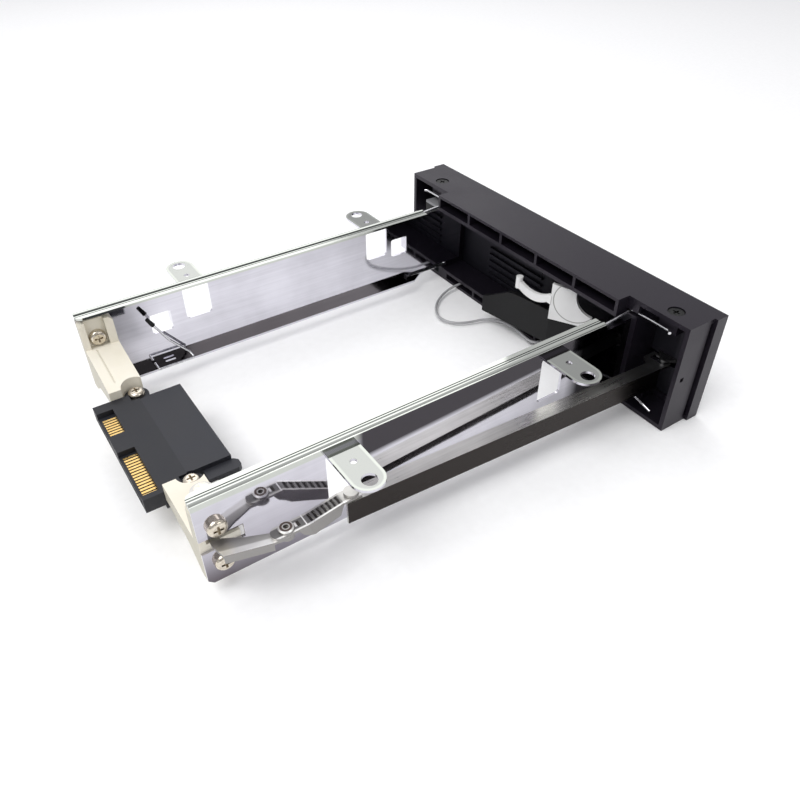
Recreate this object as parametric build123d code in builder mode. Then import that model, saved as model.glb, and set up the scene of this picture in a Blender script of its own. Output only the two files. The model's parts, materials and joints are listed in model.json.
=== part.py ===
from build123d import *
from math import atan2, cos, degrees, hypot, radians, sin, sqrt, tan
import os

os.makedirs("parts", exist_ok=True)

# A tray-free drive cage for one 3.5 inch drive, made to fill a 5.25 inch bay.
# X runs across the front from the ejector side, Y runs from the door to the
# connector, Z is up. The origin is under the middle of the whole cage.

# Front bezel
bezel_width = 147.2
bezel_height = 41.0
bezel_depth = 16.6
bezel_wall = 1.6
hood_width = 98.2
hood_reach = 4.9
rear_lip = 1.5
pocket_roof = 1.1
pocket_height = 3.9
pocket_count = 5
pocket_rib = 1.2
pocket_front_wall = 2.0
mouth_side_wall = 2.0
mouth_top_drop = 6.5
mouth_bottom_rise = 5.0

# Fascia in the front of the bezel, and its overhang past the bay
fascia_thickness = 5.0
fascia_overhang = 1.2
side_groove_width = 1.2
side_groove_depth = 2.0
fascia_boss_width = 7.0
fascia_boss_height = 5.0
side_notch_drop = 19.8
side_notch_height = 1.6
side_notch_forward = 4.0

# Cage of two sheet sides
cage_width = 103.6
sheet = 0.8
plate_height = 30.0
plate_drop = 5.1
plate_length = 152.6
plate_nose = 9.0
plate_nose_drop = 8.0
plate_nose_floor_gap = 2.9
rail_start = 12.0
rail_flange = 4.9
rail_bead_radius = 1.25
rail_corner = 2.5
rail_line_inset = 1.6
rail_line_width = 0.3
rail_line_depth = 0.15
floor_flange = 5.0
bay_clearance = 0.05

# Ears that hold the cage in the bay
ear_spacing = 76.5
ear_first = 34.3
ear_drop = 7.5
ear_width = 9.8
ear_length = 18.0
ear_screw_offset = 14.2
ear_screw_radius = 2.25
ear_pilot_offset = 6.3
ear_pilot_radius = 1.0
left_window_height = 17.0
right_window_height = 12.2

# Square windows and spring of the right side
square_window = 7.6
square_window_drop = 14.8
square_front_place = 23.4
square_rear_place = 27.6
lug_length = 3.0
spring_wire_radius = 0.45
spring_place = 28.3
spring_span = 13.4
spring_reach = 4.4
spring_tip_height = 20.4
sleeve_length = 3.6
sleeve_radius = 0.85
sleeve_end_radius = 0.65
sleeve_cap = 0.6
sleeve_fit = 0.02
spring_slot_length = 4.0
spring_slot_width = 1.0
spring_slot_inset = 1.9

# Door
door_hinge_reach = 9.45
door_end_inset = 13.6
door_thickness = 4.4
door_top_drop = 4.2
door_bottom_rise = 4.2
door_skin = 1.2
door_gap = 0.4
door_angle = 90.0
hinge_pin_radius = 1.0
hinge_pin_length = 6.0
hinge_pin_seat = 2.0
running_gap = 0.05
louvre_thickness = 1.0
louvre_depth = 1.1
louvre_pitch = 3.0
louvre_span = 32.0
louvre_start_inset = 75.0
louvre_top_drop = 18.4
catch_inset = 16.7
catch_width = 2.0
catch_reach = 7.2
catch_height = 7.0
catch_clearance = 0.4

# Sprung pusher on the back of the door
pusher_pivot_inset = 36.0
pusher_pivot_gap = 2.8
pusher_knuckle_radius = 2.2
pusher_pin_radius = 0.9
pusher_thickness = 2.4
pusher_elbow_run = 18.6
pusher_elbow_rise = 13.0
pusher_tip_run = 50.0
pusher_tip_rise = 18.4
pusher_height = 14.0
pusher_tip_height = 7.7
pusher_tip_corner = 2.4
pusher_slope_run = 9.3
pusher_shoulder_drop = 0.7
pusher_shoulder_run = 2.9
pusher_floor_gap = 0.2
pusher_ear = 1.2
pusher_play = 0.1
pusher_angle = 13.0
pad_thickness = 1.4
pad_height = 14.5
pad_lap = 2.4
pad_clearance = 0.6
pad_notch_height = 4.3
pad_length = 15.6
pad_top_length = 9.2
strap_width = 3.2
strap_reach = 16.0
strap_start_rise = 7.1
knob_radius = 1.35
knob_height = 4.6

# Latch button beside the door
button_inset = 7.6
button_width = 6.4
button_height = 15.0
button_drop = 13.0
button_travel = 1.5
button_flange = 0.9
button_flange_thickness = 1.2
latch_leaf = 0.4

# Ejector lever, link and pull bar on the left side
lever_pivot_reach = 18.2
lever_pivot_forward = 8.1
lever_level_drop = 19.8
lever_eye_radius = 3.4
lever_nose_radius = 2.2
lever_flange = 2.2
lever_angle = 15.0
rivet_reach = 7.4
rivet_forward = 20.5
rivet_radius = 1.2
rivet_head_radius = 2.1
rivet_head_height = 0.9
link_width = 4.2
link_tail = 4.3
link_flat_length = 5.8
link_front_overrun = 2.4
link_flange_depth = 3.6
link_rib_count = 7
link_rib_depth = 0.25
bar_pin_reach = 3.2
bar_pin_forward = 42.1
bar_pin_slack = 0.35
bar_pin_tail_radius = 1.4
bar_width = 5.0
bar_web_height = 8.0
bar_tail = 2.4
bar_nose_cut = 1.7
link_side_cut = 50.0
bar_top_drop = 23.2
stack_gap = 0.1
crank_offset = 2.0
crank_thickness = 1.0
crank_width = 3.2
crank_pin_radius = 1.0
crank_slot_gap = 0.3
crank_lift = 0.4
crank_slot_wall = 0.9

# Notch in the left plate for the lever
notch_top_drop = 18.4
notch_height = 4.8
notch_length = 12.1

# Rear crossbar
crossbar_depth = 11.2
crossbar_block_top_drop = 8.0
crossbar_block_width = 4.0
crossbar_block_corner = 1.2
crossbar_far_top_drop = 18.0
crossbar_far_slope = 3.2
crossbar_line_place = 8.1
crossbar_line_width = 0.5
crossbar_line_depth = 0.4
crossbar_rear_step = 2.0
crossbar_arch = [(47.5, 0.0), (40.4, 4.8), (29.0, 7.3)]
saddle_gap = 0.3
saddle_drop = 30.6
lever_play = 0.2
lever_slot_height = 2.0
lever_slot_back = 2.0
pivot_pin_seat = 6.0
screw_pocket_web = 2.0
screw_pocket_gap = 0.4

# Connector adapter
adapter_width = 48.0
adapter_front_width = 41.0
adapter_length = 27.6
adapter_front_length = 13.5
adapter_overhang = 6.0
adapter_top_drop = 24.0
adapter_height = 5.0
adapter_ear_radius = 3.9
adapter_ear_height = 4.0
adapter_keel_overrun = 0.3
board_inset = 5.6
board_rise = 2.0
board_thickness = 0.8
drive_socket_depth = 5.0
drive_socket_shift = 1.1
drive_socket_margin = 0.9
adapter_ear_clearance = 0.1
contact_pitch = 1.27
contact_width = 0.75
contact_thickness = 0.2
signal_count = 7
power_count = 15
socket_depth = 5.2
socket_cut = 1.9
tongue_thickness = 1.1
guide_width = 4.5
guide_overrun = 1.6
guide_nose = 1.2
guide_rise = 3.4
guide_front_height = 2.2
guide_rear_height = 1.4
guide_step = 6.2
guide_ear_gap = 0.6

# Fasteners
pan_head_radius = 2.8
pan_head_height = 2.0
screw_shank_radius = 1.45
plate_screw_length = 4.5
plate_screw_upper_drop = 14.9
plate_screw_lower_drop = 27.9
plate_screw_forward = 5.2
adapter_screw_radius = 2.6
adapter_screw_tip_gap = 0.5
bezel_screw_head_radius = 2.5
bezel_screw_head_height = 0.9
bezel_screw_shank_radius = 1.2
bezel_screw_length = 5.4
bezel_screw_depth = 1.2
bezel_screw_recess_gap = 0.3
bezel_screw_left_shift = 1.1
bezel_screw_right_reach = 6.05
bezel_screw_forward = 5.0

# Retaining wires between plates and bezel
wire_radius = 0.5
wire_bend = 1.2
wire_forward = 1.6
wire_end_gap = 5.5
wire_bead_depth = 6.0
wire_bead_lead = 1.2
wire_top_rise = 1.05
wire_top_draw = 0.5
wire_low_gap = 0.9
wire_hook = 1.0
wire_slot_gap = 0.2
wire_low_slot = 2.0

# Door switch beside the mouth
switch_width = 9.2
switch_depth = 9.0
switch_height = 6.0
switch_drop = 8.0
switch_overhang = 1.0
switch_cap = 1.0

# Indicator lights and their lead
light_radius = 1.2
light_inset = 7.6
light_pitch = 3.6
light_board_gap = 0.2
light_board_thickness = 1.0
light_board_width = 9.0
light_board_height = 10.0
lead_radius = 0.5
lead_plug_width = 5.0
lead_plug_depth = 3.0
lead_plug_recess = 2.5
lead_exit_shift = 0.5
lead_end_shift = 6.0

# Places that follow from the sizes
total_length = bezel_depth + plate_length + adapter_overhang
front_y = -total_length / 2
bezel_rear = front_y + bezel_depth
plate_rear = bezel_rear + plate_length
half_bezel = bezel_width / 2
half_cage = cage_width / 2


def behind(distance):
    """Y of a place this far behind the rear face of the bezel."""
    return bezel_rear + distance


def below(distance):
    """Z of a place this far below the top of the bezel."""
    return bezel_height - distance


def from_left(distance):
    """X of a place this far in from the bezel's left side."""
    return distance - half_bezel


def block(x, y, z, mode=Mode.ADD):
    """A box between its low and high values along X, Y and Z."""
    with Locations(((x[0] + x[1]) / 2, (y[0] + y[1]) / 2, (z[0] + z[1]) / 2)):
        Box(x[1] - x[0], y[1] - y[0], z[1] - z[0], mode=mode)


def post(place, z, radius, mode=Mode.ADD):
    """An upright cylinder at an (x, y) place between two levels."""
    with Locations((place[0], place[1], (z[0] + z[1]) / 2)):
        Cylinder(radius, z[1] - z[0], mode=mode)


def slab(points, z, mode=Mode.ADD):
    """A flat piece with a straight-edged outline in plan, between two levels."""
    with BuildSketch(Plane.XY.offset(z[0])) as outline:
        with BuildLine():
            Polyline(*points, close=True)
        make_face()
    extrude(outline.sketch, amount=z[1] - z[0], mode=mode)


def turned(point, centre, angle):
    """An (x, y) point after a turn about a centre, counterclockwise in degrees."""
    c = cos(radians(angle))
    s = sin(radians(angle))
    dx = point[0] - centre[0]
    dy = point[1] - centre[1]
    return (centre[0] + dx * c - dy * s, centre[1] + dx * s + dy * c)


def mirrored(side, low, high):
    """A low and high X pair, given for the right side, on either side."""
    return (low, high) if side > 0 else (-high, -low)


rail_top = below(plate_drop)
floor_z = rail_top - plate_height
mouth_half = half_cage + bay_clearance
mouth_top = below(mouth_top_drop)
mouth_bottom = mouth_bottom_rise
mouth_outer = mouth_half + mouth_side_wall
cavity_outer = half_bezel - bezel_wall
fascia_back = front_y + fascia_thickness

hinge = (-mouth_outer - door_hinge_reach, front_y + door_thickness / 2)
door_end = half_bezel - door_end_inset
door_back = front_y + door_thickness
door_top = below(door_top_drop)
door_bottom = door_bottom_rise
opening_left = hinge[0] - door_thickness / 2 - door_gap
opening_right = door_end + door_gap

lever_pivot = (-half_cage + lever_pivot_reach, plate_rear - lever_pivot_forward)
rivet = (-half_cage - rivet_reach, plate_rear - rivet_forward)
bar_pin = (-half_cage - bar_pin_reach, plate_rear - bar_pin_forward)
lever_top = below(lever_level_drop)
link_top = lever_top + sheet
bar_top = below(bar_top_drop)
link_front_top = bar_top + stack_gap + sheet

# The lever swings inwards and pulls the link; the bar slides straight forward,
# and the crank on the door is sized for the same stroke over its full swing.
link_length = hypot(rivet[0] - bar_pin[0], rivet[1] - bar_pin[1])
rivet_end = turned(rivet, lever_pivot, lever_angle)
bar_pin_end_y = rivet_end[1] - sqrt(link_length**2 - (rivet_end[0] - bar_pin[0]) ** 2)
bar_stroke = bar_pin[1] - bar_pin_end_y
link_rest_angle = degrees(atan2(rivet[1] - bar_pin[1], rivet[0] - bar_pin[0]))
link_end_angle = degrees(atan2(rivet_end[1] - bar_pin_end_y, rivet_end[0] - bar_pin[0]))
link_turn = link_end_angle - link_rest_angle - lever_angle
crank_reach = bar_stroke - crank_offset
crank_radius = hypot(crank_offset, crank_reach)
crank_pin = (hinge[0] + crank_offset, hinge[1] + crank_reach)
crank_sweep = crank_radius - crank_offset
crank_lag = (crank_reach - crank_offset) * (cos(radians(45)) - 0.5)

plate_screw_y = plate_rear - plate_screw_forward
crossbar_front = plate_rear - crossbar_depth
adapter_back = plate_rear + adapter_overhang
adapter_front = adapter_back - adapter_length
adapter_seam = adapter_front + adapter_front_length
adapter_top = below(adapter_top_drop)
adapter_bottom = adapter_top - adapter_height
adapter_screw_x = adapter_width / 2
saddle_floor = below(saddle_drop)


# Screws, head up with the underside of the head at the origin
def screw(head_radius, head_height, shank_radius, shank_length, domed=True):
    """A cross-recess screw standing on its underside."""
    with BuildPart() as made:
        with Locations((0, 0, head_height / 2)):
            Cylinder(head_radius, head_height)
        if domed:
            crown = made.edges().group_by(Axis.Z)[-1]
            fillet(crown, radius=head_height * 0.6)
        with Locations((0, 0, -shank_length / 2)):
            Cylinder(shank_radius, shank_length)
        with Locations((0, 0, head_height)):
            Box(head_radius, head_radius * 0.24, head_height * 1.2, mode=Mode.SUBTRACT)
            Box(head_radius * 0.24, head_radius, head_height * 1.2, mode=Mode.SUBTRACT)
    return made.part


def wire(points, radius, bend):
    """Round wire along straight runs joined by arcs."""
    with BuildPart() as made:
        with BuildLine() as path:
            FilletPolyline(*points, radius=bend)
        with BuildSketch(Plane(origin=path.wire() @ 0, z_dir=path.wire() % 0)):
            Circle(radius)
        sweep()
    return made.part


# Bezel body: shell, hood over the mouth, and rows of open pockets
pocket_width = (hood_width - (pocket_count + 1) * pocket_rib) / pocket_count
pocket_pitch = pocket_width + pocket_rib
bezel_screw_y = behind(-bezel_screw_forward)
bezel_screw_places = [
    (-(mouth_outer + cavity_outer) / 2 - bezel_screw_left_shift, bezel_screw_y),
    (mouth_outer + bezel_screw_right_reach, bezel_screw_y),
]
wire_top_z = rail_top - rail_bead_radius
wire_low_z = floor_z + sheet + wire_radius + running_gap
wire_y = behind(-wire_forward)
wire_slot = wire_radius + wire_slot_gap
button_x = (half_bezel - button_inset - button_width / 2, half_bezel - button_inset + button_width / 2)
button_z = (below(button_drop + button_height), below(button_drop))
catch_x = half_bezel - catch_inset
catch_z = button_z[0] + 4.0
catch_end = door_back + catch_reach
light_board_y = fascia_back + button_flange_thickness + light_board_gap
rib_front = light_board_y + light_board_thickness + light_board_gap
pusher_pivot = (from_left(pusher_pivot_inset), door_back + pusher_pivot_gap)
pusher_bottom = mouth_bottom + pusher_floor_gap + pusher_ear + pusher_play
pusher_top = pusher_bottom + pusher_height
elbow = (pusher_pivot[0] + pusher_elbow_run, pusher_pivot[1] + pusher_elbow_rise)
pad_bottom = pusher_top - pad_lap
pad_top = pad_bottom + pad_height


def catch_room():
    """The space that the door's catch needs, where a narrow bezel comes near it."""
    block((catch_x - catch_clearance, catch_x + catch_width + catch_clearance),
          (door_back, catch_end + catch_clearance),
          (catch_z - catch_clearance, catch_z + catch_height + catch_clearance), mode=Mode.SUBTRACT)


with BuildPart() as bezel_body:
    block((-half_bezel, half_bezel), (front_y, bezel_rear), (0, bezel_height))
    block((-hood_width / 2, hood_width / 2), (bezel_rear, behind(hood_reach)), (mouth_top, bezel_height))
    block((-half_bezel - 1, half_bezel + 1), (front_y - 1, fascia_back), (bezel_wall, below(bezel_wall)),
          mode=Mode.SUBTRACT)
    block((-mouth_half, mouth_half), (front_y, behind(hood_reach) + 1), (mouth_bottom, mouth_top),
          mode=Mode.SUBTRACT)
    for side in (-1, 1):
        cavity = mirrored(side, mouth_outer, cavity_outer)
        block(cavity, (front_y, bezel_rear + 1), (bezel_wall, below(bezel_wall)), mode=Mode.SUBTRACT)
        groove = mirrored(side, half_bezel - side_groove_depth, half_bezel + 1)
        block(groove, (fascia_back, fascia_back + side_groove_width), (bezel_wall, below(bezel_wall)),
              mode=Mode.SUBTRACT)
        rib = mirrored(side, mouth_outer + 4.0, mouth_outer + 5.0)
        block(rib, (rib_front, behind(-bezel_screw_forward - 2)), (bezel_wall, mouth_bottom + 6.0))
        channel = mirrored(side, mouth_half - sheet - 2 * wire_slot - wire_top_draw, mouth_outer + 0.1)
        leg_z = wire_top_z + wire_top_rise
        block(channel, (wire_y - wire_slot, bezel_rear + 1), (leg_z - wire_slot, leg_z + wire_slot),
              mode=Mode.SUBTRACT)
        block(channel, (wire_y - wire_slot, bezel_rear + 1),
              (wire_low_z - wire_low_slot, wire_low_z + wire_slot), mode=Mode.SUBTRACT)
    for index in range(pocket_count):
        middle = (index - (pocket_count - 1) / 2) * pocket_pitch
        span = (middle - pocket_width / 2, middle + pocket_width / 2)
        block(span, (fascia_back + pocket_front_wall, behind(hood_reach) + 1),
              (below(pocket_roof + pocket_height), below(pocket_roof)), mode=Mode.SUBTRACT)
        block(span, (fascia_back + pocket_front_wall, bezel_rear + 1),
              (pocket_roof, mouth_bottom - rear_lip), mode=Mode.SUBTRACT)
    for place in bezel_screw_places:
        post(place, (below(bezel_wall) - 1, bezel_height + 1), bezel_screw_shank_radius + running_gap,
             mode=Mode.SUBTRACT)
        post(place, (below(bezel_screw_depth), bezel_height + 1),
             bezel_screw_head_radius + bezel_screw_recess_gap, mode=Mode.SUBTRACT)
    block((-half_bezel - 1, -cavity_outer + 0.1),
          (behind(-side_notch_forward), behind(side_notch_height - side_notch_forward)),
          (below(side_notch_drop + side_notch_height), below(side_notch_drop)), mode=Mode.SUBTRACT)
    catch_room()
    block((elbow[0] - pad_length, elbow[0] + pad_clearance),
          (door_back, elbow[1] + pad_thickness + pad_clearance), (pusher_top, pad_top + pad_clearance),
          mode=Mode.SUBTRACT)

bezel_body.part.label = "bezel_body"

# Fascia: front plate with the door opening, set into the bezel
light_x = half_bezel - light_inset
light_middle = (bezel_wall + button_z[0] - button_flange) / 2
light_zs = [light_middle - light_pitch / 2, light_middle + light_pitch / 2]

with BuildPart() as front_fascia:
    block((-half_bezel, half_bezel), (front_y, fascia_back), (bezel_wall, below(bezel_wall)))
    for side in (-1, 1):
        edge = mirrored(side, half_bezel, half_bezel + fascia_overhang)
        block(edge, (front_y, fascia_back), (0, bezel_height))
    for place in bezel_screw_places:
        block((place[0] - fascia_boss_width / 2, place[0] + fascia_boss_width / 2),
              (fascia_back, place[1] + 2.4), (below(bezel_wall + fascia_boss_height), below(bezel_wall)))
        post(place, (below(bezel_wall + fascia_boss_height) - 1, below(bezel_wall) + 1),
             bezel_screw_shank_radius + running_gap, mode=Mode.SUBTRACT)
    block((opening_left, opening_right), (front_y - 1, fascia_back + 1),
          (door_bottom - door_gap, door_top + door_gap), mode=Mode.SUBTRACT)
    block((button_x[0] - running_gap * 2, button_x[1] + running_gap * 2), (front_y - 1, fascia_back + 1),
          (button_z[0] - running_gap * 2, button_z[1] + running_gap * 2), mode=Mode.SUBTRACT)
    for level in light_zs:
        with Locations(Location((light_x, front_y + fascia_thickness / 2, level), (90, 0, 0))):
            Cylinder(light_radius + running_gap, fascia_thickness + 2, mode=Mode.SUBTRACT)
    for low, high in ((door_bottom - door_gap - hinge_pin_seat, door_bottom),
                      (door_top, door_top + door_gap + hinge_pin_seat)):
        post(hinge, (low, high), hinge_pin_radius, mode=Mode.SUBTRACT)

front_fascia.part.label = "front_fascia"

# Door hinge pins, fixed in the fascia above and below the door
with BuildPart() as door_hinge_pins:
    post(hinge, (door_bottom - door_gap - hinge_pin_seat, door_bottom + hinge_pin_length), hinge_pin_radius)
    post(hinge, (door_top - hinge_pin_length, door_top + door_gap + hinge_pin_seat), hinge_pin_radius)

door_hinge_pins.part.label = "door_hinge_pins"

# Door: slab with a round hinge end, slats on its back, ears for the pusher
crank_bottom = bar_top + crank_lift
crank_top = crank_bottom + crank_thickness
crank_pin_bottom = bar_top - sheet - 1.0
crank_tail = (hinge[0] + 6.5, door_back)
louvre_count = int((below(louvre_top_drop) - door_bottom) / louvre_pitch)

with BuildPart() as door_panel:
    block((hinge[0], door_end), (front_y, door_back), (door_bottom, door_top))
    post(hinge, (door_bottom, door_top), door_thickness / 2)
    block((hinge[0] - door_thickness, hinge[0] + crank_sweep + 9.0), (front_y + door_skin, door_back + 1),
          (crank_pin_bottom - 0.4, crank_bottom), mode=Mode.SUBTRACT)
    block((hinge[0] - 1.4, crank_tail[0] + running_gap), (front_y + door_skin, door_back + 1),
          (crank_bottom, crank_top), mode=Mode.SUBTRACT)
    for low, high in ((door_bottom - 1, door_bottom + hinge_pin_length + 0.3),
                      (door_top - hinge_pin_length - 0.3, door_top + 1)):
        post(hinge, (low, high), hinge_pin_radius + running_gap, mode=Mode.SUBTRACT)
    for index in range(louvre_count):
        top = below(louvre_top_drop + index * louvre_pitch)
        block((from_left(louvre_start_inset), from_left(louvre_start_inset + louvre_span)),
              (door_back, door_back + louvre_depth), (top - louvre_thickness, top))
    block((catch_x, catch_x + catch_width), (door_back, catch_end), (catch_z, catch_z + catch_height))
    for low in (pusher_bottom - pusher_play - pusher_ear, pusher_top + pusher_play):
        block((pusher_pivot[0] - pusher_knuckle_radius, pusher_pivot[0] + pusher_knuckle_radius),
              (door_back, pusher_pivot[1]), (low, low + pusher_ear))
        post(pusher_pivot, (low, low + pusher_ear), pusher_knuckle_radius)
    post(pusher_pivot, (pusher_bottom - 5, pusher_top + 5), pusher_pin_radius, mode=Mode.SUBTRACT)

door_panel.part.label = "door_panel"

# Crank that ties the door to the pull bar
with BuildPart() as door_crank:
    with BuildSketch(Plane.XY.offset(crank_bottom)):
        with BuildLine():
            Polyline((hinge[0] - 1.4, front_y + door_skin), (crank_tail[0], front_y + door_skin),
                     (crank_tail[0], door_back), (crank_pin[0] + crank_width / 2, crank_pin[1]),
                     (crank_pin[0] - crank_width / 2, crank_pin[1]), (hinge[0] - 1.4, door_back),
                     close=True)
        make_face()
        with Locations(crank_pin):
            Circle(crank_width / 2)
    extrude(amount=crank_thickness)
    post(crank_pin, (crank_pin_bottom, crank_bottom), crank_pin_radius)

door_crank.part.label = "door_crank"

# Pusher arm: bent plate on the door that presses the drive home
pusher_tip = (pusher_pivot[0] + pusher_tip_run, pusher_pivot[1] + pusher_tip_rise)
slope_angle = degrees(atan2(pusher_elbow_rise - pusher_knuckle_radius, pusher_elbow_run + 0.6))
arm_start = (pusher_pivot[0] - 0.6, pusher_pivot[1] + pusher_knuckle_radius)
shoulder_x = pusher_tip[0] - pusher_tip_corner - pusher_slope_run

with BuildPart() as pusher_arm:
    slab([arm_start, elbow, pusher_tip, (pusher_tip[0], pusher_tip[1] - pusher_thickness),
          (elbow[0] + 0.9, elbow[1] - pusher_thickness), (pusher_pivot[0] + 1.0, pusher_pivot[1])],
         (pusher_bottom, pusher_top))
    post(pusher_pivot, (pusher_bottom, pusher_top), pusher_knuckle_radius)
    with BuildSketch(Plane.XZ.offset(-pusher_tip[1])):
        with BuildLine():
            Polyline((pusher_pivot[0] - 5, pusher_bottom), (pusher_tip[0], pusher_bottom),
                     (pusher_tip[0], pusher_bottom + pusher_tip_height - pusher_tip_corner / 3),
                     (pusher_tip[0] - pusher_tip_corner, pusher_bottom + pusher_tip_height),
                     (shoulder_x, pusher_top - pusher_shoulder_drop),
                     (shoulder_x - pusher_shoulder_run, pusher_top), (pusher_pivot[0] - 5, pusher_top),
                     close=True)
        make_face()
    extrude(amount=40, both=True, mode=Mode.INTERSECT)
    post(pusher_pivot, (pusher_bottom - 1, pusher_top + 1), pusher_pin_radius + running_gap,
         mode=Mode.SUBTRACT)

pusher_arm.part.label = "pusher_arm"

with BuildPart() as pusher_pin:
    post(pusher_pivot, (pusher_bottom - pusher_play - pusher_ear, pusher_top + pusher_play + pusher_ear),
         pusher_pin_radius)

pusher_pin.part.label = "pusher_pin"

# White finger on the pusher arm: a cut-out leaf, a strap and a round knob
slope_cos = cos(radians(slope_angle))
slope_sin = sin(radians(slope_angle))
leaf_plane = Plane(origin=(elbow[0], elbow[1], 0), x_dir=(-slope_cos, -slope_sin, 0),
                   z_dir=(-slope_sin, slope_cos, 0))
strap_z = pusher_top + strap_start_rise
knob = (elbow[0] + strap_reach + knob_radius / 2, elbow[1] + pad_thickness / 2)

with BuildPart() as pusher_pad:
    with BuildSketch(leaf_plane):
        with BuildLine():
            Polyline((0, pad_bottom), (0, pad_top), (pad_top_length, pad_top - 0.8))
            ThreePointArc((pad_top_length, pad_top - 0.8), (pad_top_length + 1.0, pad_top - 6.4),
                          (pad_length, pad_bottom + pad_notch_height))
            Polyline((pad_length, pad_bottom + pad_notch_height), (pad_length, pad_bottom), (0, pad_bottom))
        make_face()
    extrude(amount=pad_thickness)
    with BuildSketch(Plane.XZ.offset(-elbow[1])):
        with BuildLine():
            Polyline((elbow[0] - 1.0, strap_z), (elbow[0] + 1.0, strap_z))
            ThreePointArc((elbow[0] + 1.0, strap_z), (elbow[0] + 7.0, strap_z - 2.6),
                          (elbow[0] + strap_reach, strap_z - 1.6))
            Polyline((elbow[0] + strap_reach, strap_z - 1.6),
                     (elbow[0] + strap_reach, strap_z - 1.6 - strap_width))
            ThreePointArc((elbow[0] + strap_reach, strap_z - 1.6 - strap_width),
                          (elbow[0] + 7.0, strap_z - 2.6 - strap_width),
                          (elbow[0] + 1.0, strap_z - strap_width))
            Polyline((elbow[0] + 1.0, strap_z - strap_width), (elbow[0] - 1.0, strap_z - strap_width),
                     (elbow[0] - 1.0, strap_z))
        make_face()
    extrude(amount=-pad_thickness)
    post(knob, (strap_z - 1.6 - strap_width, strap_z - 1.6 - strap_width + knob_height), knob_radius)

pusher_pad.part.label = "pusher_pad"

# Latch button with a flange behind the fascia, and its leaf spring
with BuildPart() as latch_button:
    block(button_x, (front_y, fascia_back + 0.6), button_z)
    block((button_x[0] - button_flange, button_x[1] + button_flange),
          (fascia_back, fascia_back + button_flange_thickness),
          (button_z[0] - button_flange, button_z[1] + button_flange))

latch_button.part.label = "latch_button"

leaf_y = fascia_back + button_flange_thickness
with BuildPart() as latch_spring:
    with BuildSketch(Plane.XY.offset(button_z[0] + 3)):
        with BuildLine():
            Polyline((button_x[1] + 2.6, leaf_y + 4.8), (button_x[1] + 2.6, leaf_y + 4.8 + latch_leaf),
                     (button_x[0] + 1.0, leaf_y + 4.8 + latch_leaf), (button_x[0] - 0.2, leaf_y),
                     (button_x[0] + 0.4, leaf_y), (button_x[0] + 1.4, leaf_y + 4.8), close=True)
        make_face()
    extrude(amount=8)

latch_spring.part.label = "latch_spring"


# Switch that the closed door works, on the mouth's right wall
switch_x = (mouth_half + mouth_side_wall, mouth_half + mouth_side_wall + switch_width)
switch_y = (behind(switch_overhang - switch_depth), behind(switch_overhang))
switch_z = (below(switch_drop + switch_height), below(switch_drop))

with BuildPart() as door_switch:
    block(switch_x, switch_y, (switch_z[0], switch_z[1] - switch_cap))

door_switch.part.label = "door_switch"

with BuildPart() as door_switch_cap:
    block(switch_x, switch_y, (switch_z[1] - switch_cap, switch_z[1]))

door_switch_cap.part.label = "door_switch_cap"


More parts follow.
